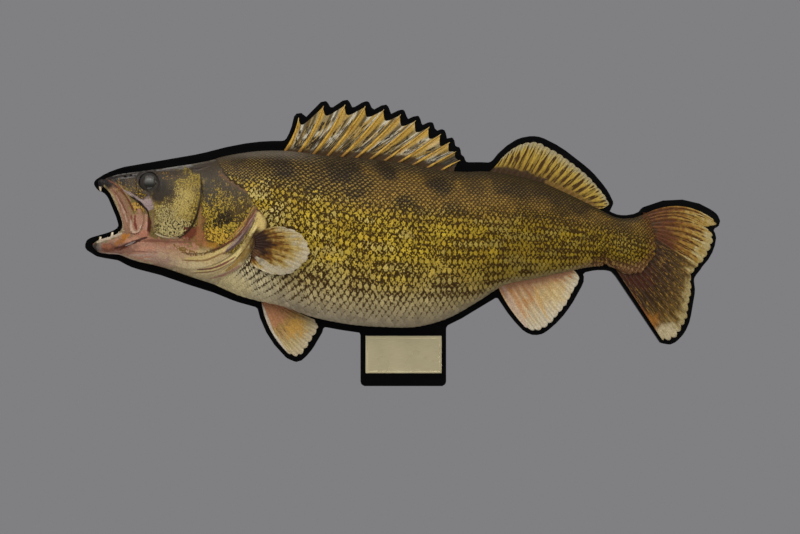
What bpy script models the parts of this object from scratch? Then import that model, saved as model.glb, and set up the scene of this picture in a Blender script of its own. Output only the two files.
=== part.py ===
"""A life-size walleye with its mouth open, in half relief on a black board cut to its outline.

Metres, +Z up. The board's back lies in the plane y = 0, the fish looks along -X and bulges along -Y.
"""
import math

import bmesh
import bpy
import numpy as np
from mathutils import Vector
from mathutils.bvhtree import BVHTree

MM = 0.001

# Board and plaque
BOARD_THICKNESS = 10 * MM
BOARD_FIELD = (820 * MM, 400 * MM)  # width and height of the field that the board is found in
BOARD_GRID = 3 * MM              # spacing of the grid that the board's outline is found on
BOARD_TOLERANCE = 0.25 * MM      # how closely its corners follow that outline
FILLET = 3.5 * MM                # rounding where the borders of two forms run together
TAB_LEFT, TAB_RIGHT = -54.5 * MM, 51.5 * MM
TAB_FOOT, TAB_TOP = -176 * MM, -95 * MM
TAB_CORNER = 6 * MM
PLAQUE_SIZE = (94 * MM, 1.2 * MM, 46 * MM)
PLAQUE_CENTRE_X, PLAQUE_CENTRE_Z = -1.2 * MM, -136.8 * MM

# Where the fish lies
GAP = 0.3 * MM                   # between touching solids
FIN_GAP = 0.4 * MM               # the same, upright or lengthwise, between the body's edge and a fin
BACK_Y = -BOARD_THICKNESS - GAP  # the fish's flat back
RIM = 3 * MM                     # height of the fish's straight edge
MID_Y = BACK_Y - RIM             # the plane that the body's roundness starts from

# The body's outline from the side, (x, z): the back, and the jaw and belly
BACK_LINE = [(-378, 75), (-370, 80.5), (-357, 85), (-330, 89), (-290, 94.5), (-250, 101), (-210, 110),
             (-180, 114), (-150, 114.5), (-100, 109), (-50, 105), (0, 99), (50, 90), (75, 88.5), (100, 89),
             (130, 85), (170, 75), (200, 62), (240, 42.5), (262, 32), (280, 31.5), (300, 38), (316, 41)]
BELLY_LINE = [(-386, -3), (-380, -9), (-368, -12), (-352, -13.5), (-338, -19), (-300, -28.5),
              (-260, -42), (-230, -52), (-205, -63), (-180, -70), (-150, -77), (-118, -88.5), (-80, -97),
              (-30, -102), (20, -101), (54, -91), (93, -69), (120, -52), (160, -42.5), (200, -34),
              (235, -27.5), (255, -28.5), (280, -42), (316, -56)]
# Half width of the body along its length, and how full its section is there (1 is an ellipse)
HALF_WIDTH = [(-378, 4), (-374, 8), (-362, 13), (-345, 18), (-317, 24), (-280, 33), (-240, 41),
              (-190, 47), (-120, 51), (-40, 52), (30, 48), (100, 39), (160, 29), (220, 19.5), (262, 13.5),
              (290, 9), (316, 4)]
FULLNESS = [(-378, 0.75), (-320, 0.64), (-260, 0.8), (-180, 0.9), (200, 0.92), (316, 0.8)]
# Swellings and hollows of the head: centre (x, z), half sizes (x, z) and height, in millimetres
RELIEF = {"gill_cover": (-222, 32, 34, 46, 3.5), "behind_gill": (-160, 30, 16, 60, -2.5),
          "cheek": (-282, 46, 26, 34, 2.5), "lacrimal": (-336, 62, 16, 12, 1.5),
          "before_cheek": (-314, 30, 7, 30, -2), "maxilla": (-335, 34, 9, 24, 1.5),
          "under_cheek": (-285, 0, 40, 8, -1.5), "brow": (-318, 88, 20, 6, 2),
          "gill_rays": (-235, -28, 36, 14, 2)}
RELIEF_RIM = 12 * MM             # the relief fades out where the body is thinner than this
JAW_REACH = 8 * MM               # how far the lower jaw's tip stands before the snout
JAW_REACH_END = -300 * MM        # where the sections stand upright again
SECTION_STEPS = 14
SNOUT, BODY_END = -378, 316      # in millimetres
CUT_NEAR, CUT_FAR = -0.1, 0.01   # cutters reach right through the fish

# The open mouth and the hollow behind the lips
GAPE = [(-400, 70), (-378, 70.5), (-372, 70.5), (-366, 66), (-355, 47), (-348, 30), (-346.5, 21),
        (-351, 14), (-361, 9.5), (-373, 6), (-381, 3), (-386, 0), (-400, -3)]
MOUTH_HOLLOW = [(-400, 67), (-369, 73), (-353, 66), (-340, 52), (-331, 35), (-329, 18), (-335, 6),
                (-348, -1), (-364, -4), (-379, -4.5), (-400, -3)]
LIP = 4.5 * MM
LINING = 1.4 * MM
LINING_FRONT = -366 * MM

# Thin cuts that part the body into its forms: each a smooth line from the side, (x, z)
CUTS = {
    "shoulder": [(-160, 120), (-156, 60), (-152, 0), (-166, -50), (-178, -80)],
    "trunk_front": [(-46, 112), (-38, 50), (-38, -30), (-46, -110)],
    "trunk_middle": [(78, 96), (86, 50), (86, -10), (78, -90)],
    "trunk_rear": [(196, 70), (202, 40), (202, 0), (196, -42)],
    "tail_root": [(294, 50), (303, 30), (309.5, 8), (308, -10), (299, -27), (280, -37), (262, -34),
                  (246, -22.5)],
    "cheek": [(-252, 80), (-250.5, 58), (-258, 33), (-272, 14), (-290, 7), (-306, 10), (-313, 24),
              (-309, 46), (-300, 66), (-284, 84), (-266, 89)],
    "gill_opening": [(-236, 116), (-228, 100), (-215, 83), (-200, 73), (-184, 48), (-169, 25), (-183, -2),
                     (-202, -28), (-228, -46), (-238, -64)],
    "gill_cover_foot": [(-177, 51), (-192, 24), (-212, 4), (-240, -9), (-275, -13), (-310, -8),
                        (-337, 5)],
    "gill_cover_front": [(-284, 11), (-282, 0), (-284, -16)],
    "brow": [(-388, 73), (-368, 73.5), (-350, 67), (-331, 62), (-317, 58.5), (-303, 64), (-288, 77)],
    "temple": [(-267, 84), (-246, 93), (-219, 95)],
    "maxilla": [(-356, 70), (-337, 58), (-324, 42), (-323, 26), (-331, 13), (-345, 15), (-356, 14)],
    "jaw_joint": [(-331, 15), (-334, 4), (-331, -10), (-336, -26)],
}
# The forms, each with a point on it, (x, z)
FORMS = {
    "cranium": (-285, 91), "snout_side": (-322, 52), "upper_jaw": (-345, 45), "lower_jaw": (-358, -5),
    "cheek": (-282, 48), "gill_cover": (-225, 40), "gill_membrane": (-270, -25),
    "shoulder": (-185, 80), "trunk_front": (-100, 20), "trunk_middle": (20, 0),
    "trunk_rear": (140, 20), "tail_stalk": (255, 5),
}

FINISHES = {"cranium": "head", "snout_side": "head", "cheek": "head", "gill_cover": "head",
            "gill_membrane": "mouth", "upper_jaw": "mouth", "lower_jaw": "mouth"}

EYE_CENTRE = (-317, 74)
EYE_SIZE = (13.2 * MM, 8.5 * MM, 13.2 * MM)   # half sizes
EYE_DEPTH = 14.5 * MM                         # its centre, out from the middle plane

# Teeth: root (x, z), length, lean forward in degrees (0 points straight up or down), radius
UPPER_TEETH = [(-375.5, 70.5, 6.5, 8, 1.8), (-366, 67, 4.5, -15, 1.2), (-357, 53, 4, -40, 1.0)]
LOWER_TEETH = [(-376.5, 1.5, 8, 0, 2.3), (-368, 5.5, 3.6, 5, 1.2), (-360.5, 7, 8, 0, 2.2)]
TOOTH_ROOT = 1.5 * MM            # how deep a tooth sits in the jaw

# Spiny dorsal fin
SPINE_COUNT = 12
SPINE_FOOT_FIRST, SPINE_FOOT_LAST = -148 * MM, 45 * MM
SPINE_LEAN_FIRST, SPINE_LEAN_GAIN = math.radians(22.5), math.radians(39)
SPINE_LENGTH = [(0, 45), (0.09, 65), (0.18, 73), (0.36, 79), (0.55, 74), (0.7, 66), (0.85, 50), (1, 27)]
SPINE_RADIUS = [(0, 2.1), (0.6, 1.5), (1, 0.7)]
WEB_DROP = 11.5 * MM             # how far the web's notches lie below the spines' tips
WEB_NOTCH = 0.28                 # where the notch lies between two spines

# The soft fins: the line that the rays' roots stand on and their span of it, in x or as a share of the
# tail root's cut; the number of rays; how far the first and the last ray bow; the height of the rays
# over the fin's flat back at root and tip; and the line of the tips
FINS = {
    "dorsal_fin_soft": dict(
        roots="back", span=(104, 238), rays=20, bow=(-1, -0.5), height=(2.8, 1.3),
        tips=[(120, 106), (131, 116), (148, 125), (163, 126), (180, 119), (210, 98.5), (235, 76),
              (250, 56), (253, 49), (247, 44.5)]),
    "anal_fin": dict(
        roots="belly", span=(116, 207), rays=13, bow=(-2.5, 0.5), height=(2.8, 1.3),
        tips=[(150, -104), (158, -108), (166, -108), (182, -97), (200, -75), (210, -57), (216, -41),
              (211, -34)]),
    "pelvic_fin": dict(
        roots="belly", span=(-177, -152), rays=8, bow=(-6.5, 0), height=(3.4, 1.4),
        tips=[(-143, -136.5), (-133, -140.5), (-122, -131), (-112, -115), (-106.5, -103),
              (-111, -93.5)]),
    "tail_fin_upper": dict(
        roots="tail", span=(0.092, 0.325), rays=10, bow=(12, 0.5), height=(3.2, 1.2),
        tips=[(383, 31), (387, 25.5), (379, 21.5), (371, 21), (378, 17), (382, 10), (381, 0),
              (374, -16), (363, -29)]),
    "tail_fin_lower": dict(
        roots="tail", span=(0.332, 0.85), rays=13, bow=(-0.5, 0), height=(3.2, 1.2),
        tips=[(361, -31), (354.5, -40), (355, -58), (352, -78), (347, -100), (339, -113),
              (328, -120.5), (319, -119)]),
}
WEB_SHARE = 0.55                 # height of the web between two rays, as a share of the rays' height
FIN_ROWS = 4

PECTORAL_ROOTS = [(-181, 9), (-179.5, 0), (-183, -10), (-187, -16)]
PECTORAL_TIPS = [(-146, 20), (-130, 15), (-117, 0), (-114.5, -13), (-124, -27), (-140, -37.5),
                 (-160, -38), (-181, -29)]
PECTORAL_RAYS = 12
PECTORAL_BOW = (4.5, -2)
PECTORAL_THICKNESS = (2.6 * MM, 1.2 * MM)     # at root and tip
PECTORAL_LIFT = 5 * MM                        # how far its tips stand off the flank

# Over the spiny fin the border is the fin's own outline moved up, so that it keeps its saw teeth
SAW_SHIFT = np.array([2.0, 3.8]) * MM
SAW_BORDER = 2.2 * MM
GAPE_MIDDLE = 40 * MM            # height that parts the upper jaw from the lower one

# Width of the board's border round each form, as (z, width); the body's also as a share along x
BODY_BORDER = [(-100, 6.5), (-75, 7), (-60, 8.5), (-45, 9.8), (-25, 9.6), (-14, 8), (-5, 11.5), (3, 11.5),
               (12, 8.5), (20, 9), (70, 8.5), (90, 8.6), (97, 9.8), (115, 9.8)]
BODY_BORDER_SHARE = [(-390, 0.8), (-375, 0.72), (-340, 0.92), (-310, 1), (150, 1), (240, 0.5)]
FIN_BORDER = {"dorsal_fin_spiny": [(0, 5.5)], "dorsal_fin_soft": [(50, 5.5), (90, 7.3)],
              "anal_fin": [(-108, 4.5), (-60, 6)], "pelvic_fin": [(-140, 5.5), (-80, 6.5)],
              "tail_fin_upper": [(25, 3.5), (42, 8.5)], "tail_fin_lower": [(-120, 4), (-60, 4.5)]}

COLOURS = {                      # colour, roughness, metallic
    "board": ((0.008, 0.008, 0.009), 0.3, 0),
    "plaque": ((0.62, 0.47, 0.24), 0.35, 1),
    "skin": ((0.25, 0.19, 0.07), 0.3, 0),
    "head": ((0.32, 0.26, 0.12), 0.3, 0),
    "mouth": ((0.62, 0.28, 0.2), 0.35, 0),
    "eye": ((0.13, 0.14, 0.15), 0.08, 0),
    "fin": ((0.5, 0.36, 0.14), 0.35, 0),
    "pale_fin": ((0.72, 0.58, 0.4), 0.35, 0),
}


def spline(keys, at):
    """The value at each place of a smooth line through keys, pairs of place and value."""
    place, value = np.array(keys, float).T
    slope = np.gradient(value, place) if len(place) > 1 else np.zeros(1)
    if len(place) == 1:
        return np.full(np.shape(at), value[0])
    at = np.clip(at, place[0], place[-1])
    i = np.clip(np.searchsorted(place, at) - 1, 0, len(place) - 2)
    step = place[i + 1] - place[i]
    t = (at - place[i]) / step
    return ((2 * t**3 - 3 * t**2 + 1) * value[i] + (t**3 - 2 * t**2 + t) * step * slope[i]
            + (3 * t**2 - 2 * t**3) * value[i + 1] + (t**3 - t**2) * step * slope[i + 1])


def line_height(keys, x):
    """Height in metres of an outline's line, whose keys are in millimetres, at x in metres."""
    return spline(keys, np.asarray(x) / MM) * MM


def smooth_path(points, count, closed=False):
    """Evenly spaced points, in metres, on the smooth curve through a few points in millimetres."""
    points = np.array(points, float) * MM
    if closed:
        points = np.vstack([points[-3:], points, points[:4]])
    run = np.concatenate([[0], np.cumsum(np.linalg.norm(np.diff(points, axis=0), axis=1))])
    first, last = (run[3], run[-4]) if closed else (run[0], run[-1])
    along = np.linspace(first, last, count, endpoint=not closed)
    return np.stack([spline(list(zip(run, points[:, k])), along) for k in (0, 1)], axis=1)


def body_depth(x, turn, wall=0.0):
    """How far the skin stands out from the middle plane; turn runs from 0 at the back to pi below."""
    width = np.maximum(line_height(HALF_WIDTH, x) - wall, 0.4 * MM)
    return width * np.sin(turn) ** spline(FULLNESS, np.asarray(x) / MM)


def with_relief(depth, x, z):
    """The depth of the plain section, with the head's swellings and hollows at (x, z)."""
    raised = np.zeros(np.shape(depth))
    for cx, cz, half_x, half_z, height in RELIEF.values():
        raised += height * MM * np.exp(-((x / MM - cx) / half_x)**2 - ((z / MM - cz) / half_z)**2)
    return depth + raised * np.clip(depth / RELIEF_RIM, 0, 1)


def depth_at(x, z):
    """How far the skin stands out at a place on the flank."""
    top, foot = line_height(BACK_LINE, x), line_height(BELLY_LINE, x)
    depth = body_depth(x, np.arccos(np.clip(1 - 2 * (top - z) / (top - foot), -1, 1)))
    return with_relief(depth, x, z)


def body_stations():
    """Places along the back, closer together on the head and on the tail's stalk."""
    spans = [(SNOUT, -374, 1), (-374, -190, 22), (-190, 230, 28), (230, BODY_END, 9)]
    return np.concatenate([np.linspace(a, b, n, endpoint=False) for a, b, n in spans] + [[BODY_END]]) * MM


def body_rings(wall=0.0, back_y=BACK_Y):
    """The body's sections from snout to tail, each a loop of points."""
    turns = np.linspace(0, math.pi, SECTION_STEPS + 1)
    rings = []
    for x in body_stations():
        lean = JAW_REACH * max(0, (JAW_REACH_END - x) / (JAW_REACH_END - SNOUT * MM))
        share = (1 - np.cos(turns)) / 2
        top, foot = line_height(BACK_LINE, x), line_height(BELLY_LINE, x - lean)
        across, height = x - lean * share, top + (foot - top) * share
        depth = with_relief(body_depth(x, turns, wall), across, height)
        front = np.stack([across, MID_Y - depth, height], axis=1)
        edge = [(x - lean, back_y, foot), (x, back_y, top)]
        rings.append(np.vstack([front, edge]))
    return rings


def edge_height(keys, x):
    """Height of the body's straight-sided edge, which joins the sections, at x in metres."""
    stations = body_stations()
    return np.interp(x, stations, line_height(keys, stations))


def clear_scene():
    for item in list(bpy.data.objects):
        bpy.data.objects.remove(item, do_unlink=True)


def collection(name):
    made = bpy.data.collections.new(name)
    bpy.context.scene.collection.children.link(made)
    return made


def material(name):
    colour, roughness, metallic = COLOURS[name]
    made = bpy.data.materials.get(name) or bpy.data.materials.new(name)
    made.use_nodes = True
    shader = made.node_tree.nodes["Principled BSDF"]
    shader.inputs["Base Color"].default_value = (*colour, 1)
    shader.inputs["Roughness"].default_value = roughness
    shader.inputs["Metallic"].default_value = metallic
    return made


def new_object(name, bm, group, finish=None):
    """An object from a bmesh, its faces turned outwards."""
    bmesh.ops.recalc_face_normals(bm, faces=bm.faces[:])
    mesh = bpy.data.meshes.new(name)
    bm.to_mesh(mesh)
    bm.free()
    made = bpy.data.objects.new(name, mesh)
    group.objects.link(made)
    if finish:
        mesh.materials.append(material(finish))
    return made


def loft(rings, closed=False):
    """A bmesh through loops of the same number of points, capped at both ends unless it is closed."""
    bm = bmesh.new()
    loops = [[bm.verts.new(point) for point in ring] for ring in rings]
    pairs = list(zip(loops, loops[1:])) + ([(loops[-1], loops[0])] if closed else [])
    for one, two in pairs:
        for k in range(len(one)):
            bm.faces.new((one[k - 1], one[k], two[k], two[k - 1]))
    if not closed:
        bm.faces.new(loops[0])
        bm.faces.new(loops[-1])
    return bm


def prism(outline, near_y, far_y):
    """A bmesh of a flat outline (x, z) made solid from one depth to another."""
    bm = bmesh.new()
    face = bm.faces.new([bm.verts.new((x, near_y, z)) for x, z in outline])
    moved = bmesh.ops.extrude_face_region(bm, geom=[face])
    for item in moved["geom"]:
        if isinstance(item, bmesh.types.BMVert):
            item.co.y = far_y
    return bm


def boolean(target, cutter, operation):
    """Cut or join for good, and drop the cutter."""
    change = target.modifiers.new(operation.title(), "BOOLEAN")
    change.operation = operation
    change.object = cutter
    graph = bpy.context.evaluated_depsgraph_get()
    graph.update()
    mesh = bpy.data.meshes.new_from_object(target.evaluated_get(graph))
    target.modifiers.clear()
    target.data = mesh
    bpy.data.objects.remove(cutter, do_unlink=True)


def sideways(line, closed=False):
    """Unit vectors across a line of points."""
    if closed:
        along = np.roll(line, -1, axis=0) - np.roll(line, 1, axis=0)
    else:
        along = np.gradient(line, axis=0)
    side = np.stack([-along[:, 1], along[:, 0]], axis=1)
    return side / np.linalg.norm(side, axis=1, keepdims=True)


def thin_cut(points, closed):
    """A wall as thick as the gap, standing on a smooth line."""
    line = smooth_path(points, 3 * len(points), closed)
    side = sideways(line, closed) * GAP / 2
    rings = []
    for (x, z), (dx, dz) in zip(line, side):
        rings.append([(x + dx, CUT_NEAR, z + dz), (x - dx, CUT_NEAR, z - dz),
                      (x - dx, CUT_FAR, z - dz), (x + dx, CUT_FAR, z + dz)])
    return loft(rings, closed)


def split_loose(piece, group):
    """Each loose island of a cut piece as an object of its own."""
    source = bmesh.new()
    source.from_mesh(piece.data)
    bmesh.ops.remove_doubles(source, verts=source.verts[:], dist=0.01 * MM)
    made, seen = [], set()
    for start in source.verts:
        if start in seen:
            continue
        island, stack = set(), [start]
        while stack:
            vert = stack.pop()
            if vert not in island:
                island.add(vert)
                stack.extend(edge.other_vert(vert) for edge in vert.link_edges)
        seen |= island
        keep = {vert.index for vert in island}
        one = source.copy()
        bmesh.ops.delete(one, geom=[v for v in one.verts if v.index not in keep], context="VERTS")
        made.append(new_object(piece.name, one, group))
    source.free()
    bpy.data.objects.remove(piece, do_unlink=True)
    return made


def reaches(piece, cutter):
    """Whether the boxes of two objects meet."""
    spans = [[(min(c[k] for c in item.bound_box), max(c[k] for c in item.bound_box)) for k in (0, 2)]
             for item in (piece, cutter)]
    return all(one[0] < two[1] and two[0] < one[1] for one, two in zip(*spans))


def part_forms(body, group, cutters):
    """Cut the body into its forms, and name each piece after the form whose point lies on it."""
    pieces = [body]
    for name, points in CUTS.items():
        made = []
        for piece in pieces:
            wall = new_object("cut_" + name, thin_cut(points, closed=name == "cheek"), cutters)
            if reaches(piece, wall):
                boolean(piece, wall, "DIFFERENCE")
                made.extend(split_loose(piece, group))
            else:
                bpy.data.objects.remove(wall, do_unlink=True)
                made.append(piece)
        pieces = made
    for piece in pieces:
        tree = BVHTree.FromPolygons([v.co for v in piece.data.vertices],
                                    [face.vertices[:] for face in piece.data.polygons])
        name = next((name for name, (x, z) in FORMS.items()
                     if tree.ray_cast(Vector((x * MM, -1, z * MM)), Vector((0, 1, 0)))[0]), None)
        if not name:                              # what lies beyond the tail's root
            bpy.data.objects.remove(piece, do_unlink=True)
            continue
        piece.name = piece.data.name = name
        piece.data.materials.append(material(FINISHES.get(name, "skin")))
        piece.data.shade_smooth()
        piece.data.set_sharp_from_angle(angle=math.radians(35))


def hollow_mouth(body, cutters):
    """Open the gape right through, and hollow the head behind the lips."""
    rings = body_rings(LIP, MID_Y)
    rings[0][:, 0] -= LIP                         # it runs out through the front of the jaws
    inner = new_object("inner_head", loft(rings), cutters)
    hollow = smooth_path(MOUTH_HOLLOW, 30)
    boolean(inner, new_object("mouth_hollow", prism(hollow, CUT_NEAR, CUT_FAR), cutters), "INTERSECT")
    boolean(body, inner, "DIFFERENCE")
    gape = prism(smooth_path(GAPE, 30), CUT_NEAR, CUT_FAR)
    boolean(body, new_object("gape", gape, cutters), "DIFFERENCE")


def build_body(group, cutters):
    body = new_object("body", loft(body_rings()), group)
    hollow_mouth(body, cutters)
    socket = new_object("eye_socket", eye_form(GAP), cutters)
    boolean(body, socket, "DIFFERENCE")
    part_forms(body, group, cutters)


def build_mouth_lining(group, cutters):
    """A thin pink floor inside the hollow head."""
    rear = np.array([p for p in smooth_path(MOUTH_HOLLOW, 30) if p[0] > LINING_FRONT])
    centre = rear.mean(axis=0)
    rear = centre + (rear - centre) * 0.93
    floor_y = MID_Y - GAP
    lining = new_object("mouth_lining", prism(rear, floor_y, floor_y - LINING), group, "mouth")
    gape = smooth_path(GAPE, 30)
    boolean(lining, new_object("gape_edge", prism(gape, CUT_NEAR, CUT_FAR), cutters), "DIFFERENCE")


def eye_form(extra=0.0):
    bm = bmesh.new()
    bmesh.ops.create_uvsphere(bm, u_segments=20, v_segments=10, radius=1)
    x, z = (value * MM for value in EYE_CENTRE)
    for vert in bm.verts:
        across, up, out = vert.co                 # the sphere's pole looks out of the head
        half_x, half_y, half_z = EYE_SIZE
        vert.co = (x + across * (half_x + extra), MID_Y - EYE_DEPTH - out * (half_y + extra),
                   z + up * (half_z + extra))
    return bm


def tooth(root_x, root_z, length, lean, radius, upwards):
    """A small cone whose root sinks into the jaw."""
    lean = math.radians(lean)
    up = 1 if upwards else -1
    depth = MID_Y - float(depth_at(root_x * MM, root_z * MM)) + LIP / 2
    way = np.array([-math.sin(lean), 0, up * math.cos(lean)])
    root = np.array([root_x * MM, depth, root_z * MM])
    across = np.array([way[2], 0, -way[0]])
    rings = []
    for along, share in ((-TOOTH_ROOT, 1), (0, 1), (length * MM * 0.6, 0.6), (length * MM, 0.12)):
        turns = np.linspace(0, 2 * math.pi, 6, endpoint=False)
        rings.append([root + way * along + radius * MM * share
                      * (across * math.cos(turn) + np.array([0, 1, 0]) * math.sin(turn)) for turn in turns])
    return loft(rings)


def build_teeth(cutters):
    for jaw, teeth, upwards in (("upper_jaw", UPPER_TEETH, False), ("lower_jaw", LOWER_TEETH, True)):
        for number, shape in enumerate(teeth):
            one = new_object(f"tooth_{number}", tooth(*shape, upwards), cutters)
            boolean(bpy.data.objects[jaw], one, "UNION")


def ray_columns(roots, tips, bow, rows):
    """Rows of points from each root to its tip, bowed more or less from the first ray to the last."""
    share = np.linspace(0, 1, len(roots))
    bows = (bow[0] + (bow[1] - bow[0]) * share) * MM
    columns = []
    for root, tip, rise in zip(np.asarray(roots), np.asarray(tips), bows):
        chord = tip - root
        side = np.array([-chord[1], chord[0]]) / np.linalg.norm(chord)
        t = np.linspace(0, 1, rows + 1)[:, None]
        columns.append(root + chord * t + side * rise * 4 * t * (1 - t))
    return columns


def plate(columns, heights, back_y):
    """A bmesh of a ribbed plate: rows of points (x, z), their heights, over a flat or curved back."""
    bm = bmesh.new()
    front, back = [], []
    for column, height in zip(columns, heights):
        ys = [back_y(x, z, k) for k, (x, z) in enumerate(column)]
        front.append([bm.verts.new((x, y - h, z)) for (x, z), y, h in zip(column, ys, height)])
        back.append([bm.verts.new((x, y, z)) for (x, z), y in zip(column, ys)])
    last, top = len(columns) - 1, len(columns[0]) - 1
    flat = []
    for i in range(last):
        for k in range(top):
            for side in (front, back):
                face = bm.faces.new((side[i][k], side[i + 1][k], side[i + 1][k + 1], side[i][k + 1]))
            flat.append(face)
        for k in (0, top):
            bm.faces.new((front[i][k], front[i + 1][k], back[i + 1][k], back[i][k]))
    for k in range(top):
        for i in (0, last):
            bm.faces.new((front[i][k], front[i][k + 1], back[i][k + 1], back[i][k]))
    if len({round(vert.co.y, 6) for row in back for vert in row}) == 1:
        bmesh.ops.dissolve_faces(bm, faces=flat)
    return bm


def perimeter(columns):
    """The outline of a plate's columns."""
    first, last = columns[0], columns[-1]
    tips = [column[-1] for column in columns[1:-1]]
    roots = [column[0] for column in columns[-2:0:-1]]
    return np.array(list(first) + tips + list(last[::-1]) + roots)


def soft_fin_columns(shape):
    count = 2 * shape["rays"] - 1                 # a ray, a web, a ray and so on
    tips = smooth_path(shape["tips"], count)
    if shape["roots"] in ("back", "belly"):
        line, way = (BACK_LINE, 1) if shape["roots"] == "back" else (BELLY_LINE, -1)
        x = np.linspace(*shape["span"], count) * MM
        roots = np.stack([x, edge_height(line, x) + way * FIN_GAP], axis=1)
    else:                                         # along the cut at the end of the tail's stalk
        line, way = None, 0
        cut = smooth_path(CUTS["tail_root"], 3 * len(CUTS["tail_root"]))
        cut += sideways(cut) * FIN_GAP
        run = np.linspace(0, 1, len(cut))
        along = np.linspace(*shape["span"], count)
        roots = np.stack([np.interp(along, run, cut[:, k]) for k in (0, 1)], axis=1)
    columns = ray_columns(roots, tips, shape["bow"], FIN_ROWS)
    for column in columns if line else []:        # no ray dips into the body beside it
        edge = edge_height(line, column[:, 0]) + way * FIN_GAP
        column[:, 1] = way * np.maximum(way * column[:, 1], way * edge)
    return columns


def build_soft_fin(name, group):
    shape = FINS[name]
    columns = soft_fin_columns(shape)
    heights = []
    for number in range(len(columns)):
        share = 1 if number % 2 == 0 else WEB_SHARE
        heights.append(np.linspace(*shape["height"], FIN_ROWS + 1) * MM * share)
    finish = "pale_fin" if name in ("anal_fin", "pelvic_fin") else "fin"
    new_object(name, plate(columns, heights, lambda x, z, k: BACK_Y), group, finish)
    return perimeter(columns)


def spine_line(share):
    """Foot and tip of a spine; share runs from 0 at the first spine to 1 at the last."""
    foot_x = SPINE_FOOT_FIRST + (SPINE_FOOT_LAST - SPINE_FOOT_FIRST) * share
    foot = np.array([foot_x, float(edge_height(BACK_LINE, foot_x)) + FIN_GAP])
    lean = SPINE_LEAN_FIRST + SPINE_LEAN_GAIN * (1 - max(0, 1 - share)**1.5)
    length = float(spline(SPINE_LENGTH, share)) * MM
    return foot, foot + length * np.array([math.sin(lean), math.cos(lean)])


def build_spiny_fin(group):
    """Twelve round spines joined by a web that dips behind each tip."""
    roots, tips, kinds = [], [], []
    for number in range(SPINE_COUNT):
        foot, tip = spine_line(number / (SPINE_COUNT - 1))
        for across, kind in ((-1, 0.35), (-0.5, 0.9), (0.5, 0.9), (1, 0.35)):
            roots.append(foot + np.array([across * 2.0 * MM, 0]))
            tips.append(tip + np.array([across * 0.7 * MM, 0]))
            kinds.append(kind)
        next_foot, next_tip = spine_line((number + 1) / (SPINE_COUNT - 1))
        if number < SPINE_COUNT - 1:
            roots.append(foot + (next_foot - foot) * 0.45)
            tips.append(tip + (next_tip - tip) * WEB_NOTCH - np.array([0, WEB_DROP]))
        else:
            roots.append(foot + np.array([16 * MM, 0]))
            tips.append(foot + np.array([17 * MM, 9 * MM]))
        kinds.append(0)
    for root in roots:
        root[1] = float(edge_height(BACK_LINE, root[0])) + FIN_GAP
    columns = ray_columns(roots, tips, (-3, 0.5), FIN_ROWS)
    rows = np.linspace(0, 1, FIN_ROWS + 1)
    heights = [(1.5 - 0.4 * rows + kind * 2 * spline(SPINE_RADIUS, rows)) * MM for kind in kinds]
    new_object("dorsal_fin_spiny", plate(columns, heights, lambda x, z, k: BACK_Y), group, "fin")
    return perimeter(columns)


def build_pectoral_fin(group):
    """The breast fin, fanned out over the flank and lifted a little at its tips."""
    count = 2 * PECTORAL_RAYS - 1
    columns = ray_columns(smooth_path(PECTORAL_ROOTS, count), smooth_path(PECTORAL_TIPS, count),
                          PECTORAL_BOW, FIN_ROWS)
    heights = []
    for number in range(count):
        share = 1 if number % 2 == 0 else WEB_SHARE
        heights.append(np.linspace(*PECTORAL_THICKNESS, FIN_ROWS + 1) * share)

    def on_flank(x, z, row):
        return MID_Y - float(depth_at(x, z)) - GAP - PECTORAL_LIFT * (row / FIN_ROWS) ** 1.5
    new_object("pectoral_fin", plate(columns, heights, on_flank), group, "pale_fin")


def body_outline():
    """The whole body from the side, with the gape open."""
    x = np.linspace(SNOUT, 300, 90) * MM
    back = np.stack([x, line_height(BACK_LINE, x)], axis=1)
    x = np.linspace(262, -386, 90) * MM
    belly = np.stack([x, line_height(BELLY_LINE, x)], axis=1)
    gape = smooth_path(GAPE, 30)
    reach = np.where(gape[:, 1] > GAPE_MIDDLE, BACK_LINE[0][0], BELLY_LINE[0][0] - 1) * MM
    gape = gape[gape[:, 0] > reach][::-1]
    return np.vstack([back, belly, gape])


def outline_distance(outline, x, z):
    """Distance from each place to an outline, negative inside it."""
    near = np.full(x.shape, np.inf)
    inside = np.zeros(x.shape, bool)
    for (ax, az), (bx, bz) in zip(outline, np.roll(outline, -1, axis=0)):
        span = (bx - ax)**2 + (bz - az)**2
        if span == 0:
            continue
        t = np.clip(((x - ax) * (bx - ax) + (z - az) * (bz - az)) / span, 0, 1)
        near = np.minimum(near, np.hypot(x - ax - t * (bx - ax), z - az - t * (bz - az)))
        crosses = ((az > z) != (bz > z)) & (x < ax + (z - az) * (bx - ax) / (bz - az if bz != az else 1))
        inside ^= crosses
    return np.where(inside, -near, near)


def join_fields(one, two):
    """The nearer of two distances, rounded where they are alike."""
    blend = np.maximum(FILLET - np.abs(one - two), 0) / FILLET
    return np.minimum(one, two) - blend**2 * FILLET / 4


def tab_distance(x, z):
    """Distance to the round-cornered tab that carries the plaque."""
    half_x, half_z = (TAB_RIGHT - TAB_LEFT) / 2 - TAB_CORNER, (TAB_TOP - TAB_FOOT) / 2 - TAB_CORNER
    dx = np.abs(x - (TAB_LEFT + TAB_RIGHT) / 2) - half_x
    dz = np.abs(z - (TAB_TOP + TAB_FOOT) / 2) - half_z
    return np.hypot(np.maximum(dx, 0), np.maximum(dz, 0)) + np.minimum(np.maximum(dx, dz), 0) - TAB_CORNER


def edge_loop(bm):
    """The longest loop of open edges, as points (x, z) in order."""
    start = max((edge for edge in bm.edges if edge.is_boundary), key=lambda edge: edge.verts[0].co.x)
    vert, edge = start.verts[0], start
    loop = []
    while True:
        loop.append((vert.co.x, vert.co.y))
        vert = edge.other_vert(vert)
        edge = next(other for other in vert.link_edges if other.is_boundary and other is not edge)
        if edge is start:
            return np.array(loop)


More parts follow.
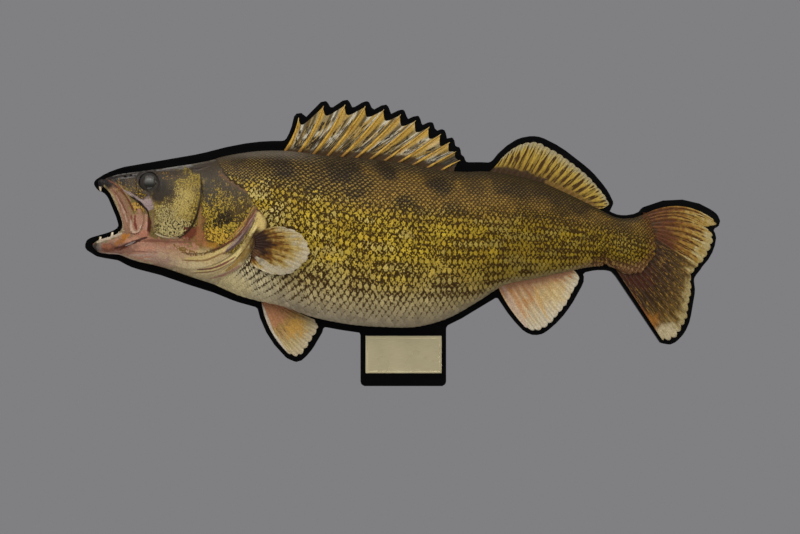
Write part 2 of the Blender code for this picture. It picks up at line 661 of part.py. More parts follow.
def thin_out(points, tolerance):
    """Drop the points that lie within the tolerance of the line between those that stay."""
    chord = points[-1] - points[0]
    length = max(np.hypot(*chord), 1e-9)
    away = np.abs(chord[0] * (points[:, 1] - points[0, 1]) - chord[1] * (points[:, 0] - points[0, 0]))
    if length < tolerance:
        away = np.hypot(*(points - points[0]).T) * length
    far = int(np.argmax(away))
    if away[far] / length < tolerance:
        return points[[0, -1]]
    return np.vstack([thin_out(points[:far + 1], tolerance)[:-1], thin_out(points[far:], tolerance)])


def build_board(group, fins):
    """The board: all that lies within a border's width of the fish, and the tab."""
    x_count, z_count = (int(size / BOARD_GRID) for size in BOARD_FIELD)
    bm = bmesh.new()
    bmesh.ops.create_grid(bm, x_segments=x_count, y_segments=z_count, size=0.5)
    for vert in bm.verts:
        vert.co.x *= BOARD_FIELD[0]
        vert.co.y *= BOARD_FIELD[1]
    x = np.array([vert.co.x for vert in bm.verts])
    z = np.array([vert.co.y for vert in bm.verts])
    border = spline(BODY_BORDER, z / MM) * spline(BODY_BORDER_SHARE, x / MM) * MM
    field = outline_distance(body_outline(), x, z) - border
    for name, outline in fins.items():
        border = spline(FIN_BORDER[name], z / MM) * MM
        around = outline_distance(outline, x, z) - border
        if name == "dorsal_fin_spiny":
            teeth = outline_distance(outline + SAW_SHIFT, x, z) - SAW_BORDER
            around = np.minimum(around, teeth)
        field = join_fields(field, around)
    field = join_fields(field, tab_distance(x, z))
    for vert, distance in zip(bm.verts, field):
        vert.co.z = distance
    geometry = bm.verts[:] + bm.edges[:] + bm.faces[:]
    bmesh.ops.bisect_plane(bm, geom=geometry, dist=1e-7, plane_co=(0, 0, 0), plane_no=(0, 0, 1),
                           clear_outer=True)
    outline = thin_out(edge_loop(bm), BOARD_TOLERANCE)
    bm.free()
    new_object("board", prism(outline, 0, -BOARD_THICKNESS), group, "board")


def build_plaque(group):
    bm = bmesh.new()
    bmesh.ops.create_cube(bm, size=1)
    for vert in bm.verts:
        vert.co.x = PLAQUE_CENTRE_X + vert.co.x * PLAQUE_SIZE[0]
        vert.co.y = BACK_Y - PLAQUE_SIZE[1] / 2 + vert.co.y * PLAQUE_SIZE[1]
        vert.co.z = PLAQUE_CENTRE_Z + vert.co.z * PLAQUE_SIZE[2]
    new_object("plaque", bm, group, "plaque")


def main():
    clear_scene()
    group, cutters = collection("mounted_walleye"), collection("cutters")
    build_body(group, cutters)
    build_teeth(cutters)
    build_mouth_lining(group, cutters)
    new_object("eye", eye_form(), group, "eye")
    outlines = {name: build_soft_fin(name, group) for name in FINS}
    outlines["dorsal_fin_spiny"] = build_spiny_fin(group)
    build_pectoral_fin(group)
    build_board(group, outlines)
    build_plaque(group)


main()
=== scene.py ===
import math

import bmesh
import bpy
import numpy as np
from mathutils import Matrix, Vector


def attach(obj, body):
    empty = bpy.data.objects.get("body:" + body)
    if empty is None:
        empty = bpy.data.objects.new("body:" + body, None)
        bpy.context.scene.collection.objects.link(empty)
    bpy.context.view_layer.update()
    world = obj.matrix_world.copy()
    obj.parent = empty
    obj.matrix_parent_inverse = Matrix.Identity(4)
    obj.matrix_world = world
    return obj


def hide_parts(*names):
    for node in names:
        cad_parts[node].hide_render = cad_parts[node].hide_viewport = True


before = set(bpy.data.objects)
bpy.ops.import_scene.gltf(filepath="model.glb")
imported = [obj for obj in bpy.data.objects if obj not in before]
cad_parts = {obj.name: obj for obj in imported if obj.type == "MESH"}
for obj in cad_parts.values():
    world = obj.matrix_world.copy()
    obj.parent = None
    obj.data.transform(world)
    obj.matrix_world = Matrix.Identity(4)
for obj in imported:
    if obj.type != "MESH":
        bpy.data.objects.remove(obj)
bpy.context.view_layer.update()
mm = 0.001

# The body's side outline, width and swellings in millimetres, as the solids have them
body = dict(
    backY=-10.3, rim=3,
    backLine=[(-378, 75), (-370, 80.5), (-357, 85), (-330, 89), (-290, 94.5), (-250, 101), (-210, 110),
              (-180, 114), (-150, 114.5), (-100, 109), (-50, 105), (0, 99), (50, 90), (75, 88.5),
              (100, 89), (130, 85), (170, 75), (200, 62), (240, 42.5), (262, 32), (280, 31.5), (300, 38),
              (316, 41)],
    bellyLine=[(-386, -3), (-380, -9), (-368, -12), (-352, -13.5), (-338, -19), (-300, -28.5),
               (-260, -42), (-230, -52), (-205, -63), (-180, -70), (-150, -77), (-118, -88.5),
               (-80, -97), (-30, -102), (20, -101), (54, -91), (93, -69), (120, -52), (160, -42.5),
               (200, -34), (235, -27.5), (255, -28.5), (280, -42), (316, -56)],
    halfWidth=[(-378, 4), (-374, 8), (-362, 13), (-345, 18), (-317, 24), (-280, 33), (-240, 41),
               (-190, 47), (-120, 51), (-40, 52), (30, 48), (100, 39), (160, 29), (220, 19.5),
               (262, 13.5), (290, 9), (316, 4)],
    fullness=[(-378, 0.75), (-320, 0.64), (-260, 0.8), (-180, 0.9), (200, 0.92), (316, 0.8)],
    # centre x, z, half sizes x, z, height
    relief=dict(gillCover=(-222, 32, 34, 46, 3.5), behindGill=(-160, 30, 16, 60, -2.5),
                cheek=(-282, 46, 26, 34, 2.5), lacrimal=(-336, 62, 16, 12, 1.5),
                beforeCheek=(-314, 30, 7, 30, -2), maxilla=(-335, 34, 9, 24, 1.5),
                underCheek=(-285, 0, 40, 8, -1.5), brow=(-318, 88, 20, 6, 2),
                gillRays=(-235, -28, 36, 14, 2)),
    reliefRim=12,
    jawReach=8, jawReachEnd=-300, snout=-378, end=316,
    gape=[(-400, 70), (-378, 70.5), (-372, 70.5), (-366, 66), (-355, 47), (-348, 30), (-346.5, 21),
          (-351, 14), (-361, 9.5), (-373, 6), (-381, 3), (-386, 0), (-400, -3)],
    mouthHollow=[(-400, 67), (-369, 73), (-353, 66), (-340, 52), (-331, 35), (-329, 18), (-335, 6),
                 (-348, -1), (-364, -4), (-379, -4.5), (-400, -3)],
    lip=4.5,
    tailRoot=[(294, 50), (303, 30), (309.5, 8), (308, -10), (299, -27), (280, -37), (262, -34),
              (246, -22.5)],
    gillOpening=[(-236, 116), (-228, 100), (-215, 83), (-200, 73), (-184, 48), (-169, 25), (-183, -2),
                 (-202, -28), (-228, -46), (-238, -64)],
    lateralLine=[(-225, 84), (-160, 72), (-125, 66), (-98, 59), (-64, 50), (0, 43), (60, 38), (127, 34),
                 (180, 29), (230, 22), (262, 14), (312, 0)],
    lineEnds=dict(tailRoot=[(284, 120), (190, -70)], gillOpening=[(-252, 160), (-262, -120)]),
    tailFrom=230, tailKept=0.22,
    tailTaper=22,               # over this length the stalk thins down onto the tail fin's rays
)
studio = dict(
    distance=2.6, centre=(-5.6, -28.5), framed=0.990, sensor=36, aim=(0, -0.03, 0), world=0x807F82,
    # place, width and height, power, colour
    lamps=dict(window=((1.25, -1.35, 0.35), (0.2, 0.9), 7, (1, 0.99, 0.97)),
               above=((-0.35, -1.75, 1.95), (3.2, 1.8), 74, (1, 0.99, 0.97)),
               below=((0.1, -1.9, -1.6), (2.4, 0.9), 42, (0.99, 0.99, 1))),
)
midY = (body["backY"] - body["rim"]) * mm
backY = body["backY"] * mm


def clean():
    if bpy.context.object and bpy.context.object.mode != "OBJECT":
        bpy.ops.object.mode_set(mode="OBJECT")
    bpy.ops.object.select_all(action="DESELECT")


def only(piece):
    clean()
    piece.select_set(True)
    bpy.context.view_layer.objects.active = piece


def joined(pieces, name):
    only(pieces[0])
    for piece in pieces:
        piece.select_set(True)
    bpy.ops.object.join()
    return named(bpy.context.object, name)


def named(piece, name):
    piece.name = piece.data.name = name
    return piece


def dress(piece, slot, finish, *nodes):
    piece.data.materials.clear()
    piece.data.materials.append(finish)
    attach(piece, "root")
    if nodes:
        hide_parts(*nodes)


def smooth(low, high, value):
    t = np.clip((np.asarray(value, float) - low) / (high - low), 0, 1)
    return t * t * (3 - 2 * t)


# The value at each place of a smooth line through pairs of place and value
def spline(keys, at):
    place, value = np.array(keys, float).T
    slope = np.gradient(value, place)
    at = np.clip(at, place[0], place[-1])
    i = np.clip(np.searchsorted(place, at) - 1, 0, len(place) - 2)
    step = place[i + 1] - place[i]
    t = (at - place[i]) / step
    return ((2 * t**3 - 3 * t**2 + 1) * value[i] + (t**3 - 2 * t**2 + t) * step * slope[i]
            + (3 * t**2 - 2 * t**3) * value[i + 1] + (t**3 - t**2) * step * slope[i + 1])


def lineAt(name, x):
    return spline(body[name], x)


def linearly(keys, at):
    return np.interp(at, *np.array(keys).T)


def smoothPath(points, count):
    points = np.reshape(points, (-1, 2)).astype(float)
    run = np.concatenate([[0], np.cumsum(np.linalg.norm(np.diff(points, axis=0), axis=1))])
    along = np.linspace(0, run[-1], count)
    return np.stack([spline(list(zip(run, points[:, k])), along) for k in (0, 1)], axis=1)


# Soft random values from 0 to 1 whose blots are about as wide as size
def grain(x, z, size, seed=0):
    px, pz = np.asarray(x) / size, np.asarray(z) / size
    ix, iz = np.floor(px), np.floor(pz)
    fx, fz = px - ix, pz - iz
    fx, fz = fx * fx * (3 - 2 * fx), fz * fz * (3 - 2 * fz)

    def corner(a, b):
        value = np.sin((ix + a) * 127.1 + (iz + b) * 311.7 + seed * 74.7) * 43758.5453
        return value - np.floor(value)
    low = corner(0, 0) * (1 - fx) + corner(1, 0) * fx
    high = corner(0, 1) * (1 - fx) + corner(1, 1) * fx
    return low * (1 - fz) + high * fz


# Distance to a line of points, its side (left is positive) and the place along it, 0 to 1
def pathDistance(path, x, z):
    near = np.full(x.shape, 1e9)
    side, along = np.zeros(x.shape), np.zeros(x.shape)
    count = len(path) - 1
    for k in range(count):
        (ax, az), (bx, bz) = path[k], path[k + 1]
        dx, dz = bx - ax, bz - az
        t = np.clip(((x - ax) * dx + (z - az) * dz) / (dx * dx + dz * dz + 1e-12), 0, 1)
        away = np.hypot(x - ax - t * dx, z - az - t * dz)
        closer = away < near
        near = np.where(closer, away, near)
        side = np.where(closer, np.sign(dx * (z - az) - dz * (x - ax)), side)
        along = np.where(closer, (k + t) / count, along)
    return near, side, along


def meshPiece(name, points, faces, smoothShade=True):
    mesh = bpy.data.meshes.new(name)
    mesh.from_pydata(np.asarray(points).tolist(), [], [list(map(int, face)) for face in faces])
    mesh.update()
    piece = bpy.data.objects.new(name, mesh)
    bpy.context.scene.collection.objects.link(piece)
    if smoothShade:
        mesh.polygons.foreach_set("use_smooth", [True] * len(mesh.polygons))
    return piece


def outward(piece):
    bm = bmesh.new()
    bm.from_mesh(piece.data)
    bmesh.ops.recalc_face_normals(bm, faces=bm.faces[:])
    bm.to_mesh(piece.data)
    bm.free()
    return piece


def applyModifier(piece, kind, **values):
    only(piece)
    change = piece.modifiers.new(kind.title(), kind)
    for key, value in values.items():
        setattr(change, key, value)
    bpy.ops.object.modifier_apply(modifier=change.name)


# Quads over a grid of points stored column by column
def gridFaces(columns, rows, offset=0, flip=False):
    i, k = np.meshgrid(np.arange(columns - 1), np.arange(rows - 1), indexing="ij")
    a = (i * rows + k).ravel() + offset
    quads = np.stack([a, a + rows, a + rows + 1, a + 1], axis=1)
    return (quads[:, ::-1] if flip else quads).tolist()


# A front and a back grid joined round their rim
def plateFaces(columns, rows):
    back = columns * rows
    faces = gridFaces(columns, rows) + gridFaces(columns, rows, back, True)
    rims = [(i * rows + k, (i + 1) * rows + k) for i in range(columns - 1) for k in (0, rows - 1)]
    rims += [(i * rows + k, i * rows + k + 1) for k in range(rows - 1) for i in (0, columns - 1)]
    return faces + [(a, b, b + back, a + back) for a, b in rims]


# Closed rings of points joined into a tube with both ends shut
def tubeFaces(rings, around):
    faces = []
    for i in range(0, (rings - 1) * around, around):
        for k in range(around):
            a, b = i + k, i + (k + 1) % around
            faces.append((a, b, b + around, a + around))
    return faces + [list(range(around)), list(range((rings - 1) * around, rings * around))]


def readPoints(piece, kind="vertices", key="co"):
    data = getattr(piece.data, kind)
    values = np.empty(3 * len(data))
    data.foreach_get(key, values)
    return values.reshape(-1, 3)


def setPoints(piece, points):
    piece.data.vertices.foreach_set("co", np.ascontiguousarray(points).ravel())
    piece.data.update()


def setAttribute(piece, name, values):
    values = np.asarray(values, float)
    if values.ndim == 1:
        piece.data.attributes.new(name, "FLOAT", "POINT").data.foreach_set("value", values)
        return
    if values.shape[1] == 3:
        values = np.hstack([values, np.ones((len(values), 1))])
    piece.data.attributes.new(name, "FLOAT_COLOR", "POINT").data.foreach_set("color", values.ravel())


# The ground and the specks over it; place is where the specks' grain is measured
def setLayers(piece, colours, place=None):
    setAttribute(piece, "markings", colours[:, :3])
    setAttribute(piece, "specks", colours[:, 3:7])
    setAttribute(piece, "speckSize", colours[:, 7])
    if place is not None:
        setAttribute(piece, "speckPlace", place)


def linear(tone):
    share = np.array([tone >> 16, tone >> 8 & 255, tone & 255]) / 255
    return np.where(share <= 0.04045, share / 12.92, ((share + 0.055) / 1.055) ** 2.4)


def mix(one, two, share):
    return one + (two - one) * np.asarray(share)[..., None]


# Surface of the body

# Points of the body's section at x, in millimetres; turn runs from 0 at the back to pi below
def sectionPoint(x, turn, inset):
    reach = np.maximum(0, (body["jawReachEnd"] - x) / (body["jawReachEnd"] - body["snout"]))
    lean = body["jawReach"] * reach
    share = (1 - np.cos(turn)) / 2
    top, foot = lineAt("backLine", x), lineAt("bellyLine", x - lean)
    across, height = x - lean * share, top + (foot - top) * share
    return across, height, sectionDepth(x, turn, inset, across, height)


# How far the body stands out at a place on the flank
def flankDepth(x, z, inset=0):
    top, foot = lineAt("backLine", x), lineAt("bellyLine", x)
    turn = np.arccos(np.clip(1 - 2 * (top - z) / (top - foot), -1, 1))
    return sectionDepth(x, turn, inset, x, z)


def sectionDepth(x, turn, inset, across, height):
    depth = np.maximum(lineAt("halfWidth", x) - inset, 0.4) * np.sin(turn) ** lineAt("fullness", x)
    raised = 0
    for cx, cz, halfX, halfZ, rise in body["relief"].values():
        raised = raised + rise * np.exp(-((across - cx) / halfX)**2 - ((height - cz) / halfZ)**2)
    depth = depth + raised * np.clip(depth / body["reliefRim"], 0, 1)
    return depth * tailThinning(across, height)


# Distance in front of the gill opening or the tail's root, negative behind it
def aheadOf(line, x, z):
    before, after = body["lineEnds"][line]
    path = np.vstack([[before], smoothPath(body[line], 32), [after]])
    away, side, _ = pathDistance(path, x, z)
    return np.where(side < 0, away, -away)


# The share of its depth that the stalk keeps as it thins down onto the tail fin's rays
def tailThinning(x, z):
    x, z = np.broadcast_arrays(np.asarray(x, float), np.asarray(z, float))
    kept = np.ones(x.shape)
    near = x > body["tailFrom"]
    ahead = smooth(0, body["tailTaper"], aheadOf("tailRoot", x[near], z[near]))
    kept[near] = body["tailKept"] + (1 - body["tailKept"]) * ahead
    return kept


# Painting: each mark is a patch or a stroke laid over the ground colour, with a ragged, soft edge

# Ground colours with an empty layer of specks: speck colour, share and coarseness
def layered(ground):
    return np.concatenate([ground, ground, np.zeros((len(ground), 2))], axis=1)


def patch(x, z, halfX, halfZ, tone, ragged=0.4, soft=0.3, **more):
    return dict(at=(x, z), size=(halfX, halfZ), tone=tone, ragged=ragged, soft=soft, **more)


def stroke(path, width, tone, ragged=0.4, soft=0.3, **more):
    return dict(path=path, width=width, tone=tone, ragged=ragged, soft=soft, **more)


# How far each place lies from the middle of a mark, with 1 at its edge
def markReach(mark, x, z):
    if "path" in mark:
        width = mark["width"]
        path = smoothPath(mark["path"], 2 * len(mark["path"]))
        low, high = path.min(axis=0) - 2 * width, path.max(axis=0) + 2 * width
        box = (x > low[0]) & (x < high[0]) & (z > low[1]) & (z < high[1])
        reach = np.full(x.shape, 9.0)
        near, _, along = pathDistance(path, x[box], z[box])
        thin = 0.35 + 0.65 * np.sin(np.clip(along, 0.02, 0.98) * math.pi) ** 0.5
        reach[box] = near / (width / 2 * thin)
        return reach
    angle = math.radians(mark.get("turn", 0))
    dx, dz = x - mark["at"][0], z - mark["at"][1]
    a = (dx * math.cos(angle) + dz * math.sin(angle)) / mark["size"][0]
    b = (dz * math.cos(angle) - dx * math.sin(angle)) / mark["size"][1]
    return np.hypot(a, b)


def paintOver(colours, x, z, marks):
    rough = (grain(x, z, 4, 3) - 0.5) + 0.5 * (grain(x, z, 1.7, 9) - 0.5)
    for mark in marks:
        soft, tone = mark["soft"], linear(mark["tone"])
        cover = 1 - smooth(1 - soft, 1 + soft, markReach(mark, x, z) + rough * 2 * mark["ragged"])
        cover = cover * mark.get("strength", 1)
        if "specks" in mark:
            fresh = colours[:, 6:7] * (1 - cover[:, None]) < 0.05
            colours[:, 3:6] = np.where(fresh, tone, mix(colours[:, 3:6], tone, cover))
            colours[:, 6:] = mix(colours[:, 6:], np.array(mark["specks"]), cover)
        else:
            colours[:, :3] = mix(colours[:, :3], tone, cover)
            colours[:, 6:7] = mix(colours[:, 6:7], 0, cover * (1 - mark.get("under", 0)))
    return colours


# The trunk's ground colours by height, 0 at the belly's edge to 1 along the back
flankTones = dict(
    fill=[(0, 0xA69A82), (0.05, 0xAA9C7C), (0.15, 0xB8A774),
          (0.28, 0xAE974A), (0.42, 0xAE9430), (0.6, 0xA88F2C), (0.7, 0x9A7F2E),
          (0.78, 0x866C2C), (0.9, 0x82692E), (0.96, 0x786236), (1, 0x6E6148)],
    edge=[(0, 0x948872), (0.03, 0x847658), (0.055, 0x5C482A), (0.2, 0x3C2A10),
          (0.35, 0x3A2804), (0.66, 0x3A2904), (0.74, 0x342609), (0.85, 0x30230D),
          (1, 0x31291D)],
    spot=[(0, 1.5), (0.02, 1.1), (0.045, 0.74), (0.1, 0.62), (0.2, 0.58), (0.3, 0.59), (0.5, 0.61),
          (0.66, 0.58), (0.76, 0.48), (0.88, 0.44), (0.95, 0.42), (1, 0.38)],
    # how tall a scale's pale middle is, and how ragged its rim
    tall=[(0, 1.2), (0.15, 1.15), (0.28, 0.95), (0.66, 0.9), (0.74, 0.8), (1, 0.75)],
    ragged=[(0, 0.24), (0.16, 0.3), (0.28, 0.55), (0.4, 0.74), (0.66, 0.68), (0.76, 0.34), (0.9, 0.18),
            (1, 0.14)],
)
saddles = [(-205, 104, 16, 12), (-150, 92, 20, 17), (-75, 88, 22, 16), (-20, 90, 15, 14), (40, 74, 16, 14),
           (88, 70, 15, 13), (135, 66, 17, 12), (175, 54, 16, 12), (222, 38, 16, 9), (262, 22, 14, 7),
           (-112, 62, 12, 8), (-60, 58, 13, 8), (0, 50, 12, 7), (60, 42, 12, 7), (110, 40, 10, 6),
           (160, 34, 10, 6)]
# Tones laid over the trunk's scales: share and tone of the fill, then of the edge
trunkTints = dict(
    saddle=(0.5, 0x463822, 0.7, 0x1E170E), banded=(0.4, 0x80621E), pale=(0.62, 0xB6A86C),
    breast=(0.85, 0xC8BB92, 0.8, 0x42331E), bare=(1, 0xCCBC8A, 1, 0xC8B786),
    # the grey tint along the top of the back behind the head is painted sheen, where light grazes the rounded
    # back
    warm=(0.65, 0x94732C, 0.65, 0x543E17), napeSheen=(0.7, 0x766C5E, 0.7, 0x645B4F),
    gill=(0.5, 0x765C28, 0.8, 0x403629), tail=(0.7, 0x6C4E1A, 1, 0x422810),
    tailFoot=(0.8, 0x806242, 0.8, 0x604228),
    # blots on the flank: share and tone, the grain's stretch and size, its seed, and where it shows
    blots=[(0.5, 0xC0A434, 0.4, 9, 41, 0.5), (0.3, 0xA47E22, 0.3, 7, 51, 0.6),
           (0.4, 0xACA068, 0.4, 9, 55, 0.6)],
    # how much darker each colour is towards the tail
    rearFill=(0.47, 0.5, 0.68), rearEdge=(0.1, 0.14, 0.3), lateral=(0.4, 0x281E0C))


# Height on the flank: 0 at the belly's edge, 0.7 on the lateral line and 1 on the back
def bodyShare(x, z):
    top, foot, line = (lineAt(name, x) for name in ("backLine", "bellyLine", "lateralLine"))
    below = 0.7 * np.clip((z - foot) / np.maximum(line - foot, 1), 0, 1)
    above = 0.7 + 0.3 * np.clip((z - line) / np.maximum(top - line, 1), 0, 1)
    return np.where(z < line, below, above)


def byHeight(keys, share):
    tones = np.array([linear(tone) for _, tone in keys])
    return np.stack([np.interp(share, [key for key, _ in keys], tones[:, k]) for k in range(3)], axis=-1)


# Fill and edge colour of the scales, and the share of each that the fill covers
def trunkMarkings(x, z, between=0):
    share = bodyShare(x, z)
    share = share + 0.3 * smooth(30, 150, x) * smooth(0.01, 0.1, share) * np.clip(1 - share / 0.7, 0, 1)
    fill, edge = byHeight(flankTones["fill"], share), byHeight(flankTones["edge"], share)

    def lay(cover, fillShare, fillTone, edgeShare=0, edgeTone=0):
        nonlocal fill, edge
        fill = mix(fill, linear(fillTone), fillShare * cover)
        edge = mix(edge, linear(edgeTone), edgeShare * cover)

    def tint(name, cover):
        lay(cover, *trunkTints[name])
    dark = np.zeros(x.shape)
    for cx, cz, halfX, halfZ in saddles:
        away = np.hypot((x - cx + 0.35 * (z - cz)) / halfX, (z - cz) / halfZ)
        dark = np.maximum(dark, 1 - smooth(0.4, 1.3, away + 0.9 * (grain(x, z, 9, 5) - 0.5)))
    dark = dark * (1 - 0.6 * smooth(20, 120, x))
    below = 1 - smooth(0.62, 0.78, share + 0.1 * (grain(x, z, 6, 37) - 0.5))
    flank = smooth(0.16, 0.3, share) * below
    rows = grain(0.5 * x + 0.2 * z, z * 1.7, 8, 21) * 0.55 + grain(0.7 * x, z, 4.4, 31) * 0.45
    cluster = smooth(0.54, 0.66, rows) * smooth(0.12, 0.3, share) * below
    banded = between * smooth(0.1, 0.24, share) * below * smooth(0.3, 0.6, grain(x, z, 15, 27))
    spot = linearly(flankTones["spot"], share) * (1 - 0.15 * dark) * (1 - 0.3 * cluster)
    spot = spot * (1 - 0.42 * banded) + 0.1 * flank * (1 - between)
    tint("saddle", dark * (1 - below))
    tint("banded", banded)
    for amount, tone, stretch, size, seed, low in trunkTints["blots"]:
        lay(flank * smooth(low, 0.8, grain(stretch * x, z, size, seed)), amount, tone)
    rearward = smooth(-50, 180, x)[..., None]
    fill = fill * (1 - rearward * trunkTints["rearFill"])
    edge = edge * (1 - rearward * trunkTints["rearEdge"])
    pale = smooth(-120, -170, x) * smooth(0.3, 0.5, share) * below
    tint("pale", pale * smooth(0.25, 0.6, grain(x, z, 12, 57)))
    breast = smooth(-138, -180, x) * smooth(0.45, 0.32, share)
    tint("breast", breast)
    plain = np.hypot((x + 212) / 24, (z + 50 + 0.3 * (x + 212)) / 13)
    tint("bare", smooth(1.25, 0.75, plain + 0.3 * (grain(x, z, 5, 59) - 0.5)))
    warm = (1 - below) * (1 - smooth(0.9, 0.97, share)) * smooth(0.35, 0.65, grain(x, z, 24, 61))
    tint("warm", warm * (1 - dark) * smooth(-150, -60, x))
    line = np.abs(z - lineAt("lateralLine", x))
    amount, tone = trunkTints["lateral"]
    edge = mix(edge, linear(tone), amount * (1 - smooth(1.5, 3.5, line)))
    spot = (spot + 0.03 * breast) * (1 - 0.2 * (1 - smooth(1.5, 3.2, line)))
    # painted sheen: a grey tint along the top of the back behind the head, where light grazes the rounded
    # back
    tint("napeSheen", smooth(0.9, 0.985, share) * smooth(-95, -150, x))
    tint("gill", smooth(-34, -2, aheadOf("gillOpening", x, z)) * (1 - below))
    tail = aheadOf("tailRoot", x, z)
    tint("tail", smooth(15, 3, tail + 5 * (grain(x, z, 4, 93) - 0.5)))
    tint("tailFoot", smooth(-14, -32, z) * smooth(26, 6, tail))
    return fill, edge, spot


